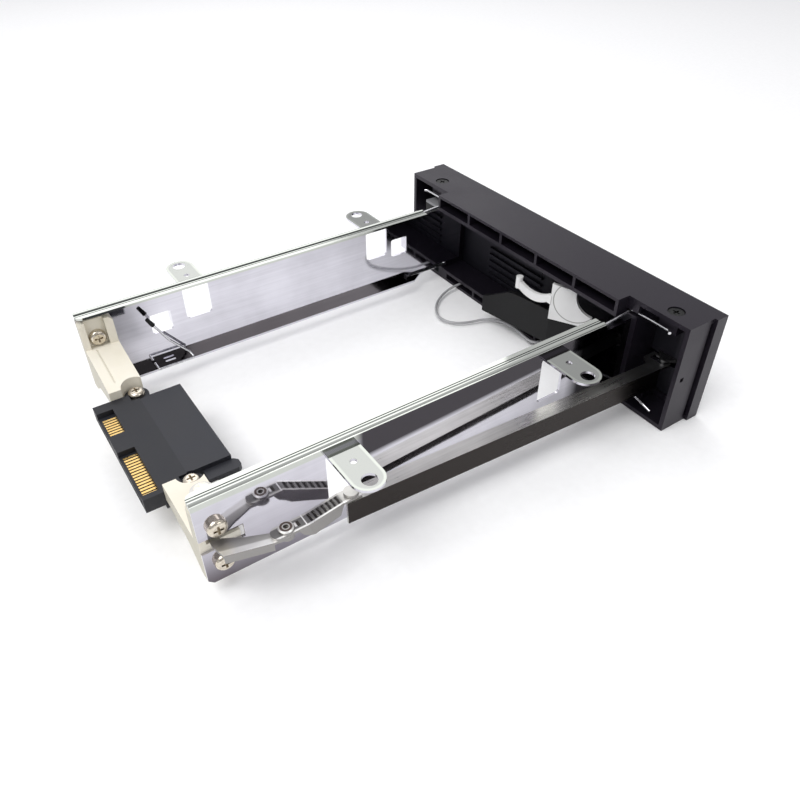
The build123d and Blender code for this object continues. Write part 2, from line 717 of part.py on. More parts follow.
# Side plates: web, rolled top rail, floor flange, ears and windows
def side_plate(side, window_height):
    """One sheet side of the cage, for side -1 (left) or 1 (right)."""
    outer = side * half_cage
    web = mirrored(side, half_cage - sheet, half_cage)
    ear_z = (below(ear_drop) - sheet, below(ear_drop))
    nose_bottom = mouth_bottom + plate_nose_floor_gap
    with BuildPart() as made:
        with BuildSketch(Plane.YZ.offset(web[0])):
            with BuildLine():
                Polyline((behind(-plate_nose), nose_bottom), (behind(-plate_nose), below(plate_nose_drop)),
                         (behind(rail_start) - 1.0, below(plate_nose_drop)),
                         (behind(rail_start), rail_top - sheet),
                         (plate_rear, rail_top - sheet), (plate_rear, floor_z + 1.5),
                         (plate_rear - 1.5, floor_z), (behind(rail_start), floor_z),
                         (behind(0), nose_bottom), close=True)
            make_face()
        extrude(amount=sheet)
        with BuildSketch(Plane.XY.offset(rail_top - sheet - 0.5)) as flange:
            with Locations((outer - side * rail_flange / 2, (behind(rail_start) + plate_rear) / 2)):
                Rectangle(rail_flange, plate_rear - behind(rail_start))
            rear_corners = flange.vertices().group_by(Axis.Y)[-1].sort_by(Axis.X)
            fillet(rear_corners[0] if side > 0 else rear_corners[-1], radius=rail_corner)
        extrude(amount=sheet)
        line_x = half_cage - rail_flange + rail_line_inset
        block(mirrored(side, line_x, line_x + rail_line_width),
              (behind(rail_start) + 2, plate_rear - rail_corner),
              (rail_top - 0.5 - rail_line_depth, rail_top), mode=Mode.SUBTRACT)
        with Locations(Location((outer - side * rail_bead_radius, (behind(rail_start) + plate_rear) / 2,
                                 rail_top - rail_bead_radius), (90, 0, 0))):
            Cylinder(rail_bead_radius, plate_rear - behind(rail_start))
        with BuildSketch(Plane.XY.offset(floor_z)):
            with BuildLine():
                Polyline((outer, behind(rail_start)), (outer, plate_rear - 1.5),
                         (outer - side * floor_flange, plate_rear - 1.5),
                         (outer - side * floor_flange, behind(rail_start) + 6.0),
                         (outer - side * sheet, behind(rail_start)), close=True)
            make_face()
        extrude(amount=sheet)
        for place in (ear_first, ear_first + ear_spacing):
            middle = behind(place)
            tip = half_cage + ear_length
            block(mirrored(side, half_cage - sheet, tip - ear_width / 2),
                  (middle - ear_width / 2, middle + ear_width / 2), ear_z)
            post((side * (tip - ear_width / 2), middle), ear_z, ear_width / 2)
            post((side * (half_cage + ear_screw_offset), middle), (ear_z[0] - 1, ear_z[1] + 1),
                 ear_screw_radius, mode=Mode.SUBTRACT)
            post((side * (half_cage + ear_pilot_offset), middle), (ear_z[0] - 1, ear_z[1] + 1),
                 ear_pilot_radius, mode=Mode.SUBTRACT)
            with BuildSketch(Plane.YZ.offset(web[0] - 1)):
                with Locations((middle, ear_z[0] - window_height / 2)):
                    RectangleRounded(ear_width, window_height, 1.2)
            extrude(amount=sheet + 2, mode=Mode.SUBTRACT)
        bore_y = behind(rail_start) + (wire_bead_depth - wire_bead_lead) / 2
        with Locations(Location((outer - side * rail_bead_radius, bore_y, wire_top_z), (90, 0, 0))):
            Cylinder(wire_radius + running_gap, wire_bead_depth + wire_bead_lead, mode=Mode.SUBTRACT)
    return made.part


with BuildPart() as left_side_plate:
    add(side_plate(-1, left_window_height))
    block((-half_cage - 1, -half_cage + sheet + 1), (plate_rear - notch_length, plate_rear + 1),
          (below(notch_top_drop + notch_height), below(notch_top_drop)), mode=Mode.SUBTRACT)
    for drop in (plate_screw_upper_drop, plate_screw_lower_drop):
        with Locations(Location((-half_cage, plate_screw_y, below(drop)), (0, 90, 0))):
            Cylinder(screw_shank_radius + running_gap, 3 * sheet, mode=Mode.SUBTRACT)

left_side_plate.part.label = "left_side_plate"

with BuildPart() as right_side_plate:
    add(side_plate(1, right_window_height))
    for middle in (behind(square_front_place), plate_rear - square_rear_place):
        level = below(square_window_drop + square_window / 2)
        with BuildSketch(Plane.YZ.offset(half_cage - sheet - 1)):
            with Locations((middle, level)):
                RectangleRounded(square_window, square_window, 0.8)
        extrude(amount=sheet + 2, mode=Mode.SUBTRACT)
        block((half_cage - sheet, half_cage + lug_length),
              (middle - square_window / 2 - sheet, middle - square_window / 2),
              (level - square_window / 3, level + square_window / 3))
    for drop in (plate_screw_upper_drop, plate_screw_lower_drop):
        with Locations(Location((half_cage, plate_screw_y, below(drop)), (0, 90, 0))):
            Cylinder(screw_shank_radius + running_gap, 3 * sheet, mode=Mode.SUBTRACT)
    with BuildSketch(Plane.XY.offset(floor_z - 1)):
        with Locations((half_cage - spring_slot_inset, plate_rear - spring_place + 1)):
            SlotOverall(spring_slot_length, spring_slot_width, rotation=90)
    extrude(amount=sheet + 2, mode=Mode.SUBTRACT)
    catch_room()

right_side_plate.part.label = "right_side_plate"


# Wires that spring the rails into the bezel
def retaining_wires(side):
    """The upper and lower wire of one side, as two solids."""
    bead_x = side * (half_cage - rail_bead_radius)
    low_x = side * (half_cage - sheet - wire_radius - running_gap)
    end_x = side * (cavity_outer - wire_end_gap)
    leg_z = wire_top_z + wire_top_rise
    upper = wire([(bead_x, behind(rail_start) + wire_bead_depth - 0.5, wire_top_z),
                  (bead_x, behind(rail_start) - wire_bead_lead, wire_top_z),
                  (bead_x - side * wire_top_draw, wire_y, leg_z), (end_x - side * wire_hook, wire_y, leg_z),
                  (end_x, wire_y + wire_hook, leg_z)], wire_radius, wire_bend)
    lower = wire([(low_x, behind(rail_start) + wire_bead_depth + 2.0, wire_low_z), (low_x, wire_y, wire_low_z),
                  (end_x, wire_y, bezel_wall + wire_radius + wire_low_gap)], wire_radius, wire_bend)
    return upper, lower


left_upper_wire, left_lower_wire = retaining_wires(-1)
with BuildPart() as left_retaining_wires:
    add(left_upper_wire)
    add(left_lower_wire)

left_retaining_wires.part.label = "left_retaining_wires"

right_upper_wire, right_lower_wire = retaining_wires(1)
with BuildPart() as right_retaining_wires:
    add(right_upper_wire)
    add(right_lower_wire)

right_retaining_wires.part.label = "right_retaining_wires"

# Wire spring on the right floor flange that presses on the drive
spring_z = floor_z + sheet + spring_wire_radius + 0.02
spring_outer = half_cage - sheet - 0.8
spring_inner = spring_outer - spring_reach
spring_back = plate_rear - spring_place + spring_span / 2
spring_front = plate_rear - spring_place - spring_span / 2
spring_knee = Vector(spring_inner + 2.2, spring_front + 7.0, spring_z + 9.2)
spring_end = Vector(spring_inner + 0.6, spring_back - 0.4, spring_z + spring_tip_height)
drive_spring_part = wire(
    [(spring_outer, spring_back, spring_z), (spring_inner, spring_back, spring_z),
     (spring_inner, spring_front, spring_z), (spring_inner + 2.6, spring_front + 0.6, spring_z + 1.2),
     tuple(spring_knee), tuple(spring_end)], spring_wire_radius, 0.6)
with BuildPart() as drive_spring:
    add(drive_spring_part)

drive_spring.part.label = "drive_spring"

# Black sleeve on the free end of the wire spring
sleeve_way = (spring_end - spring_knee).normalized()
sleeve_grip = sleeve_length - sleeve_cap
sleeve_start = spring_end - sleeve_way * sleeve_grip

with BuildPart(Plane(origin=sleeve_start, z_dir=sleeve_way)) as spring_tip:
    Cone(sleeve_radius, sleeve_end_radius, sleeve_length, align=(Align.CENTER, Align.CENTER, Align.MIN))
    Cylinder(spring_wire_radius + sleeve_fit, sleeve_grip + sleeve_fit,
             align=(Align.CENTER, Align.CENTER, Align.MIN), mode=Mode.SUBTRACT)

spring_tip.part.label = "spring_tip"

# Rear crossbar: beam with end blocks, a saddle for the adapter, a lever slot
crossbar_half = half_cage - sheet
block_inner = crossbar_half - crossbar_block_width
block_top = below(crossbar_block_top_drop)
beam_bottom = floor_z + sheet
near_top = lever_top - sheet - lever_play
far_top = below(crossbar_far_top_drop)
saddle_half = adapter_width / 2 + saddle_gap
pocket_seat = crossbar_half - screw_pocket_web
upper_screw_z = below(plate_screw_upper_drop)
lower_screw_z = below(plate_screw_lower_drop)
screw_clear = pan_head_radius + screw_pocket_gap


def far_slope_z(x):
    """Level of the far half's sloping top at a given X."""
    return far_top - crossbar_far_slope * (block_inner - x) / (block_inner - saddle_half)


def beam_section(points, y, mode=Mode.ADD):
    """A piece with a straight-edged outline seen from the rear, between two Y values."""
    with BuildSketch(Plane.XZ.offset(-y[1])) as outline:
        with BuildLine():
            Polyline(*points, close=True)
        make_face()
    extrude(outline.sketch, amount=y[1] - y[0], mode=mode)


arch_points = [(x, beam_bottom + rise) for x, rise in crossbar_arch]
arch_outline = ([(-crossbar_arch[0][0], beam_bottom - 1)] + [(-x, z) for x, z in arch_points]
                + [(x, z) for x, z in reversed(arch_points)] + [(crossbar_arch[0][0], beam_bottom - 1)])
line_y = crossbar_front + crossbar_line_place - crossbar_line_width

with BuildPart() as rear_crossbar:
    block((-crossbar_half, saddle_half), (crossbar_front, plate_rear), (beam_bottom, near_top))
    beam_section([(saddle_half - 1, beam_bottom), (crossbar_half, beam_bottom), (crossbar_half, far_top),
                  (block_inner, far_top), (saddle_half, far_slope_z(saddle_half)),
                  (saddle_half - 1, far_slope_z(saddle_half))], (crossbar_front, plate_rear))
    for side in (-1, 1):
        block(mirrored(side, block_inner, crossbar_half), (crossbar_front, plate_rear),
              (beam_bottom, block_top))
    block_edges = rear_crossbar.edges().filter_by(Axis.X).group_by(Axis.Z)[-1]
    chamfer(block_edges, length=crossbar_block_corner)
    block((-saddle_half, saddle_half), (crossbar_front - 1, plate_rear + 1), (saddle_floor, block_top),
          mode=Mode.SUBTRACT)
    block((-crossbar_half - 1, -block_inner + 1), (crossbar_front - 1, plate_rear - lever_slot_back),
          (near_top, near_top + lever_slot_height), mode=Mode.SUBTRACT)
    block((block_inner - 1, pocket_seat), (plate_screw_y - screw_clear, plate_screw_y + screw_clear),
          (upper_screw_z - screw_clear, block_top + 1), mode=Mode.SUBTRACT)
    beam_section([(saddle_half + 4, far_slope_z(saddle_half + 4) - crossbar_line_depth),
                  (block_inner - 1, far_slope_z(block_inner - 1) - crossbar_line_depth),
                  (block_inner - 1, far_top + 1), (saddle_half + 4, far_top + 1)],
                 (line_y, line_y + crossbar_line_width), mode=Mode.SUBTRACT)
    beam_section(arch_outline, (plate_rear - crossbar_rear_step, plate_rear + 1), mode=Mode.SUBTRACT)
    for side in (-1, 1):
        for level in (upper_screw_z, lower_screw_z):
            with Locations(Location((side * crossbar_half, plate_screw_y, level), (0, 90, 0))):
                Cylinder(screw_shank_radius + running_gap, 2 * plate_screw_length, mode=Mode.SUBTRACT)
        post((side * adapter_screw_x, adapter_seam), (saddle_floor, block_top), adapter_ear_radius + saddle_gap,
             mode=Mode.SUBTRACT)
        post((side * adapter_screw_x, adapter_seam), (beam_bottom - 1, saddle_floor + 1),
             screw_shank_radius + running_gap, mode=Mode.SUBTRACT)
    post(lever_pivot, (near_top - pivot_pin_seat, near_top + 1), rivet_radius, mode=Mode.SUBTRACT)

rear_crossbar.part.label = "rear_crossbar"

with BuildPart() as lever_pivot_pin:
    post(lever_pivot, (near_top - pivot_pin_seat, lever_top + running_gap), rivet_radius)
    post(lever_pivot, (lever_top + running_gap, lever_top + running_gap + rivet_head_height), rivet_head_radius)

lever_pivot_pin.part.label = "lever_pivot_pin"

# Ejector lever: flat arm through the notch, with a foot behind the drive
wall = -half_cage
rear = plate_rear
lever_z = (lever_top - sheet, lever_top)
lever_outline = [
    (lever_pivot[0], lever_pivot[1] + lever_eye_radius),
    (wall - 1.0, rear - 2.7),
    (wall - 6.0, rear - 3.9),
    (wall - 9.2, rear - 16.2),
    (rivet[0] - lever_nose_radius, rivet[1]),
    (rivet[0] + lever_nose_radius, rivet[1]),
    (wall - 5.6, rear - 16.6),
    (wall - 3.2, rear - 10.8),
    (wall - 0.1, rear - 5.4),
    (wall + 1.6, rear - 5.4),
    (wall + 1.8, rear - 15.2),
    (wall + 5.6, rear - 15.6),
    (wall + 8.2, rear - 9.6),
    (lever_pivot[0], lever_pivot[1] - lever_eye_radius),
]
lever_edge = [(wall - 6.0, rear - 3.9), (wall - 9.2, rear - 16.2),
              (wall - 9.2 + sheet, rear - 16.4), (wall - 6.0 + sheet, rear - 4.1)]

with BuildPart() as ejector_lever:
    slab(lever_outline, lever_z)
    post(lever_pivot, lever_z, lever_eye_radius)
    post(rivet, lever_z, lever_nose_radius)
    slab(lever_edge, (lever_z[0] - lever_flange, lever_z[1]))
    post(lever_pivot, (lever_z[0] - 1, lever_z[1] + 1), rivet_radius + running_gap, mode=Mode.SUBTRACT)
    post(rivet, (lever_z[0] - 1, lever_z[1] + 1), rivet_radius, mode=Mode.SUBTRACT)

ejector_lever.part.label = "ejector_lever"

with BuildPart() as lever_rivet:
    post(rivet, (lever_z[0], link_top + running_gap), rivet_radius)
    post(rivet, (link_top + running_gap, link_top + running_gap + rivet_head_height), rivet_head_radius)
    post(rivet, (lever_z[0] - rivet_head_height, lever_z[0]), rivet_head_radius)
    head = lever_rivet.edges().filter_by(GeomType.CIRCLE).group_by(Axis.Z)[-1]
    chamfer(head, length=rivet_head_height * 0.4)
    post(rivet, (link_top, link_top + 3), rivet_radius * 0.6, mode=Mode.SUBTRACT)

lever_rivet.part.label = "lever_rivet"

# Link: ribbed channel from the lever down to the pull bar
link_half = link_width / 2
bend_y = rivet[1] - link_flat_length
foot_y = bar_pin[1] + 3.4
link_end_y = bar_pin[1] - link_front_overrun
link_drop = link_top - link_front_top
flange_start = rivet[1] - lever_nose_radius - 0.5
centre_line = [(rivet[0], rivet[1] + link_tail), (rivet[0], bend_y), (bar_pin[0], foot_y),
               (bar_pin[0], link_end_y)]


def strip_outline(inset):
    """Plan of the link, drawn in from both long sides by the inset."""
    half = link_half - inset
    return ([(x - half, y) for x, y in centre_line] + [(x + half, y) for x, y in reversed(centre_line)])


def link_side(top_offset, tail_y, bottom):
    """Side view of the link from its top line down to a list of bottom points."""
    return [(tail_y, link_top + top_offset), (bend_y, link_top + top_offset),
            (foot_y, link_front_top + top_offset), (link_end_y - 1, link_front_top + top_offset)] + bottom


def link_solid(inset, side_points):
    """The link's plan and side view cut into one solid."""
    with BuildPart() as made:
        slab(strip_outline(inset), (link_front_top - 12, link_top + 4))
        with BuildSketch(Plane.YZ.offset(rivet[0])):
            with BuildLine():
                Polyline(*side_points, close=True)
            make_face()
        extrude(amount=link_side_cut, both=True, mode=Mode.INTERSECT)
    return made.part


web_bottom = [(link_end_y - 1, link_front_top - sheet), (foot_y, link_front_top - sheet),
              (foot_y + 1.4, link_front_top - link_flange_depth),
              (bend_y - 1.5, link_top - link_flange_depth - 1.6),
              (flange_start - 1.2, link_top - 2.8), (flange_start, link_top - sheet),
              (rivet[1] + link_tail + 1, link_top - sheet)]
link_block = link_solid(0, link_side(0, rivet[1] + link_tail + 1, web_bottom))
hollow_bottom = [(link_end_y - 1, link_front_top - 12), (rivet[1] + link_tail + 1, link_front_top - 12)]
link_hollow = link_solid(sheet, link_side(-sheet, rivet[1] + link_tail + 1, hollow_bottom))
slope = degrees(atan2(link_drop, bend_y - foot_y))
slope_yaw = degrees(atan2(bar_pin[0] - rivet[0], bend_y - foot_y))

with BuildPart() as ejector_link:
    add(link_block)
    add(link_hollow, mode=Mode.SUBTRACT)
    tail_edges = ejector_link.edges().filter_by(Axis.Z).group_by(Axis.Y)[-1]
    fillet(tail_edges, radius=link_half - 0.1)
    for index in range(link_rib_count):
        share = (index + 0.8) / (link_rib_count + 0.4)
        place = (rivet[0] + (bar_pin[0] - rivet[0]) * share, bend_y + (foot_y - bend_y) * share,
                 link_top - link_drop * share)
        with Locations(Location(place, (slope, 0, slope_yaw))):
            Box(link_width - 1.8, 0.85, 2 * link_rib_depth, mode=Mode.SUBTRACT)
    post(rivet, (link_top - 3, link_top + 3), rivet_radius + running_gap, mode=Mode.SUBTRACT)
    post(bar_pin, (link_front_top - 2, link_front_top + 2), rivet_radius + bar_pin_slack, mode=Mode.SUBTRACT)

ejector_link.part.label = "ejector_link"

# Pull bar: an angle that leans out towards the bezel, with a cross slot in front
bar_rear = (bar_pin[0] + 0.3, bar_pin[1] + bar_tail)
bar_front_y = crank_pin[1] - crank_pin_radius - crank_slot_gap - crank_slot_wall
bar_lean = (bar_rear[0] - crank_pin[0]) / (bar_rear[1] - crank_pin[1])


def bar_x(y):
    """X of the bar's middle line at a given Y."""
    return crank_pin[0] + bar_lean * (y - crank_pin[1])


tongue_y = crank_pin[1] + crank_lag + crank_pin_radius + crank_slot_gap + 1.5
tongue_x = crank_pin[0] + crank_sweep + crank_pin_radius + crank_slot_gap + 1.5
half_bar = bar_width / 2
web_front_y = tongue_y + 1.0

with BuildPart() as push_bar:
    slab([(bar_x(bar_front_y) - half_bar, bar_front_y + bar_nose_cut),
          (bar_x(bar_front_y) - half_bar + bar_nose_cut, bar_front_y),
          (tongue_x, bar_front_y), (tongue_x, tongue_y), (bar_x(tongue_y) + half_bar, tongue_y + 2.0),
          (bar_rear[0] + half_bar, bar_rear[1]), (bar_rear[0] - half_bar, bar_rear[1])],
         (bar_top - sheet, bar_top))
    slab([(bar_x(web_front_y) - half_bar, web_front_y), (bar_rear[0] - half_bar, bar_rear[1]),
          (bar_rear[0] - half_bar + sheet, bar_rear[1]), (bar_x(web_front_y) - half_bar + sheet, web_front_y)],
         (bar_top - bar_web_height, bar_top))
    block((crank_pin[0] - crank_pin_radius - crank_slot_gap,
           crank_pin[0] + crank_sweep + crank_pin_radius + crank_slot_gap),
          (crank_pin[1] - crank_pin_radius - crank_slot_gap,
           crank_pin[1] + crank_lag + crank_pin_radius + crank_slot_gap),
          (bar_top - sheet - 1, bar_top + 1), mode=Mode.SUBTRACT)
    post(bar_pin, (bar_top - sheet - 1, bar_top + 1), rivet_radius, mode=Mode.SUBTRACT)

push_bar.part.label = "push_bar"

with BuildPart() as bar_pin_rivet:
    post(bar_pin, (bar_top - sheet, link_front_top + stack_gap), rivet_radius)
    post(bar_pin, (link_front_top + stack_gap, link_front_top + stack_gap + rivet_head_height), rivet_head_radius)
    post(bar_pin, (bar_top - sheet - rivet_head_height, bar_top - sheet), bar_pin_tail_radius)

bar_pin_rivet.part.label = "bar_pin_rivet"

# Connector adapter: drive side shell, cable side shell, board and contacts
front_half = adapter_front_width / 2
rear_half = adapter_width / 2
board_z = (adapter_bottom + board_rise, adapter_bottom + board_rise + board_thickness)
board_half = front_half - 2.5
signal_middle = 13.6
power_middle = -11.6
tongue_top = adapter_top - socket_cut
signal_span = signal_count * contact_pitch + 3.6
power_span = power_count * contact_pitch + 1.9
sockets = [(signal_middle, signal_span, signal_count), (power_middle, power_span, power_count)]
ear_top = adapter_bottom + adapter_ear_height

with BuildPart() as adapter_drive_shell:
    block((-front_half, front_half), (adapter_front, adapter_seam), (adapter_bottom, adapter_top))
    block((-board_half - 0.1, board_half + 0.1), (adapter_front + board_inset - 0.1, adapter_seam + 1),
          (board_z[0], board_z[1]), mode=Mode.SUBTRACT)
    for middle, span, count in sockets:
        shifted = middle + drive_socket_shift
        block((shifted - span / 2 + drive_socket_margin, shifted + span / 2 - drive_socket_margin),
              (adapter_front - 1, adapter_front + drive_socket_depth),
              (adapter_bottom + 1.4, adapter_bottom + 3.8), mode=Mode.SUBTRACT)
    guide_x = (-front_half - guide_width, -front_half)
    guide_y = (adapter_front - guide_overrun, adapter_seam - adapter_ear_radius - guide_ear_gap)
    guide_top = adapter_bottom + guide_rise
    slab([(guide_x[0], adapter_front + guide_step), (guide_x[0], guide_y[0] + guide_nose),
          (guide_x[0] + guide_nose, guide_y[0]), (guide_x[1] - guide_nose, guide_y[0]),
          (guide_x[1], guide_y[0] + guide_nose), (guide_x[1] + 0.1, adapter_front + 0.1),
          (guide_x[1] + 0.1, adapter_front + guide_step)], (guide_top - guide_front_height, guide_top))
    block((guide_x[0], guide_x[1] + 0.1), (adapter_front + guide_step - 0.1, guide_y[1]),
          (guide_top - guide_rear_height, guide_top))
    for side in (-1, 1):
        post((side * adapter_screw_x, adapter_seam), (adapter_bottom - 1, adapter_top + 1),
             adapter_ear_radius + adapter_ear_clearance, mode=Mode.SUBTRACT)

adapter_drive_shell.part.label = "adapter_drive_shell"

with BuildPart() as adapter_cable_shell:
    block((-front_half, front_half), (adapter_seam, adapter_seam + 3), (adapter_bottom, adapter_top))
    block((-rear_half, rear_half), (adapter_seam + 2.6, adapter_back), (adapter_bottom, adapter_top))
    block((-rear_half, rear_half), (adapter_seam, plate_rear + adapter_keel_overrun),
          (saddle_floor, adapter_bottom))
    for side in (-1, 1):
        post((side * adapter_screw_x, adapter_seam), (saddle_floor, ear_top), adapter_ear_radius)
        block(mirrored(side, front_half, rear_half), (adapter_seam, adapter_seam + 3), (adapter_bottom, ear_top))
        post((side * adapter_screw_x, adapter_seam), (saddle_floor - 1, ear_top + 1),
             screw_shank_radius + running_gap, mode=Mode.SUBTRACT)
    block((-board_half - 0.1, board_half + 0.1), (adapter_seam - 1, adapter_back - socket_depth - 1.4),
          (board_z[0], board_z[1]), mode=Mode.SUBTRACT)
    for middle, span, count in sockets:
        edge = (middle - span / 2, middle + span / 2)
        block(edge, (adapter_back - socket_depth, adapter_back + 1), (tongue_top, adapter_top + 1),
              mode=Mode.SUBTRACT)
        block(edge, (adapter_back - socket_depth, adapter_back + 1),
              (adapter_bottom + 0.7, tongue_top - tongue_thickness), mode=Mode.SUBTRACT)
        block((edge[0], edge[0] + 0.9), (adapter_back - socket_depth, adapter_back + 1),
              (tongue_top - tongue_thickness - 0.1, tongue_top + 0.1), mode=Mode.SUBTRACT)

adapter_cable_shell.part.label = "adapter_cable_shell"

with BuildPart() as adapter_board:
    block((-board_half, board_half), (adapter_front + board_inset, adapter_back - socket_depth - 1.5), board_z)

adapter_board.part.label = "adapter_board"


def contact_row(middle, count, y, z):
    """A row of flat contacts at the connector's pitch."""
    with BuildPart() as made:
        with GridLocations(contact_pitch, 1, count, 1):
            with Locations((middle, (y[0] + y[1]) / 2, (z[0] + z[1]) / 2)):
                Box(contact_width, y[1] - y[0], z[1] - z[0])
    return made.part


cable_contact_y = (adapter_back - socket_depth, adapter_back - 0.9)
cable_contact_z = (tongue_top, tongue_top + contact_thickness)
with BuildPart() as signal_contacts:
    add(contact_row(signal_middle, signal_count, cable_contact_y, cable_contact_z))

signal_contacts.part.label = "signal_contacts"

with BuildPart() as power_contacts:
    add(contact_row(power_middle, power_count, cable_contact_y, cable_contact_z))

power_contacts.part.label = "power_contacts"

drive_contact_y = (adapter_front + 0.8, adapter_front + drive_socket_depth)
drive_contact_z = (adapter_bottom + 1.4, adapter_bottom + 1.4 + contact_thickness)
drive_signal_row = contact_row(signal_middle + drive_socket_shift, signal_count, drive_contact_y, drive_contact_z)
drive_power_row = contact_row(power_middle + drive_socket_shift, power_count, drive_contact_y, drive_contact_z)
with BuildPart() as drive_contacts:
    add(drive_signal_row)
    add(drive_power_row)

drive_contacts.part.label = "drive_contacts"

# Screws in their places
adapter_screw = screw(adapter_screw_radius, pan_head_height, screw_shank_radius,
                      ear_top - beam_bottom - adapter_screw_tip_gap)
with BuildPart() as adapter_screws:
    with Locations((-adapter_screw_x, adapter_seam, ear_top), (adapter_screw_x, adapter_seam, ear_top)):
        add(adapter_screw)

adapter_screws.part.label = "adapter_screws"

plate_screw = screw(pan_head_radius, pan_head_height, screw_shank_radius, plate_screw_length)
with BuildPart() as left_plate_screws:
    with Locations(Location((-half_cage, plate_screw_y, below(plate_screw_upper_drop)), (0, -90, 0)),
                   Location((-half_cage, plate_screw_y, below(plate_screw_lower_drop)), (0, -90, 0))):
        add(plate_screw)

left_plate_screws.part.label = "left_plate_screws"

pocket_screw = screw(pan_head_radius, pan_head_height, screw_shank_radius, screw_pocket_web + sheet)
with BuildPart() as right_plate_screws:
    with Locations(Location((pocket_seat, plate_screw_y, upper_screw_z), (0, -90, 0))):
        add(pocket_screw)
    with Locations(Location((half_cage, plate_screw_y, below(plate_screw_lower_drop)), (0, 90, 0))):
        add(plate_screw)

right_plate_screws.part.label = "right_plate_screws"

bezel_screw = screw(bezel_screw_head_radius, bezel_screw_head_height, bezel_screw_shank_radius,
                    bezel_screw_length, domed=False)
with BuildPart() as bezel_screws:
    for place in bezel_screw_places:
        with Locations((place[0], place[1], below(bezel_screw_depth))):
            add(bezel_screw)

bezel_screws.part.label = "bezel_screws"

# Indicator lights, their board and the loose lead
with BuildPart() as light_pipes:
    for level in light_zs:
        with Locations(Location((light_x, (front_y + light_board_y) / 2, level), (90, 0, 0))):
            Cylinder(light_radius, light_board_y - front_y)

light_pipes.part.label = "light_pipes"

with BuildPart() as light_board:
    block((light_x - light_board_width / 2, light_x + light_board_width / 2 - 1.2),
          (light_board_y, light_board_y + light_board_thickness), (bezel_wall, bezel_wall + light_board_height))

light_board.part.label = "light_board"

lead_plug_y = behind(-lead_plug_recess)
lead_plug_z = (pocket_roof, mouth_bottom - rear_lip)
lead_z = (lead_plug_z[0] + lead_plug_z[1]) / 2
lead_exit = (2 * pocket_pitch + lead_exit_shift, lead_plug_y, lead_z)
lead_end = (-pocket_pitch + lead_end_shift, lead_plug_y, lead_z)
lead_route = [
    lead_exit,
    (39.3, behind(1.7), 2.3),
    (38.7, behind(6.8), 1.7),
    (35.6, behind(13.4), 1.4),
    (30.4, behind(19.1), 1.3),
    (23.4, behind(22.1), 1.2),
    (17.2, behind(19.4), 1.2),
    (14.0, behind(13.6), 1.3),
    (12.4, behind(7.1), 1.5),
    (7.2, behind(2.6), 1.8),
    (0.4, behind(1.8), 2.0),
    (-6.0, behind(2.7), 2.2),
    (-10.6, behind(3.5), 2.3),
    (-13.4, behind(1.5), 2.3),
    lead_end,
]

with BuildPart() as lead_plugs:
    for place in (lead_exit, lead_end):
        block((place[0] - lead_plug_width / 2, place[0] + lead_plug_width / 2),
              (place[1] - lead_plug_depth, place[1]), lead_plug_z)

lead_plugs.part.label = "lead_plugs"

lead_radii = []
for before, corner, after in zip(lead_route, lead_route[1:], lead_route[2:]):
    run_in = Vector(*corner) - Vector(*before)
    run_out = Vector(*after) - Vector(*corner)
    half_turn = radians(run_in.get_angle(run_out) / 2)
    lead_radii.append(0.45 * min(run_in.length, run_out.length) / tan(half_turn))
print("lead radii", [round(radius, 1) for radius in lead_radii])

with BuildPart() as indicator_lead:
    with BuildLine() as lead_path:
        FilletPolyline(*lead_route, radius=lead_radii)
    with BuildSketch(Plane(origin=lead_path.wire() @ 0, z_dir=lead_path.wire() % 0)):
        Circle(lead_radius)
    sweep()

indicator_lead.part.label = "indicator_lead"
print("lead length", round(lead_path.wire().length, 1))

# Numbers for the motion of the ejector
print("bar stroke", round(bar_stroke, 4), "per door radian", round(bar_stroke / radians(door_angle), 6))
print("lever ratio", round(lever_angle / door_angle, 6), "link ratio", round(link_turn / door_angle, 6))
print("hinge", hinge, "lever pivot", lever_pivot, "rivet", rivet, "pusher pivot", pusher_pivot)

# Write each piece
pieces = [
    bezel_body, front_fascia, door_hinge_pins, door_panel, door_crank, pusher_arm, pusher_pin, pusher_pad,
    latch_button, latch_spring, door_switch, door_switch_cap, left_side_plate, right_side_plate,
    left_retaining_wires, right_retaining_wires,
    drive_spring, spring_tip, rear_crossbar, lever_pivot_pin, ejector_lever, lever_rivet, ejector_link, push_bar,
    bar_pin_rivet, adapter_drive_shell, adapter_cable_shell, adapter_board, signal_contacts, power_contacts,
    drive_contacts, adapter_screws, left_plate_screws, right_plate_screws, bezel_screws, light_pipes,
    light_board, lead_plugs, indicator_lead,
]
for piece in pieces:
    export_step(piece.part, f"parts/{piece.part.label}.step")
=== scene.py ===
import json
from math import radians

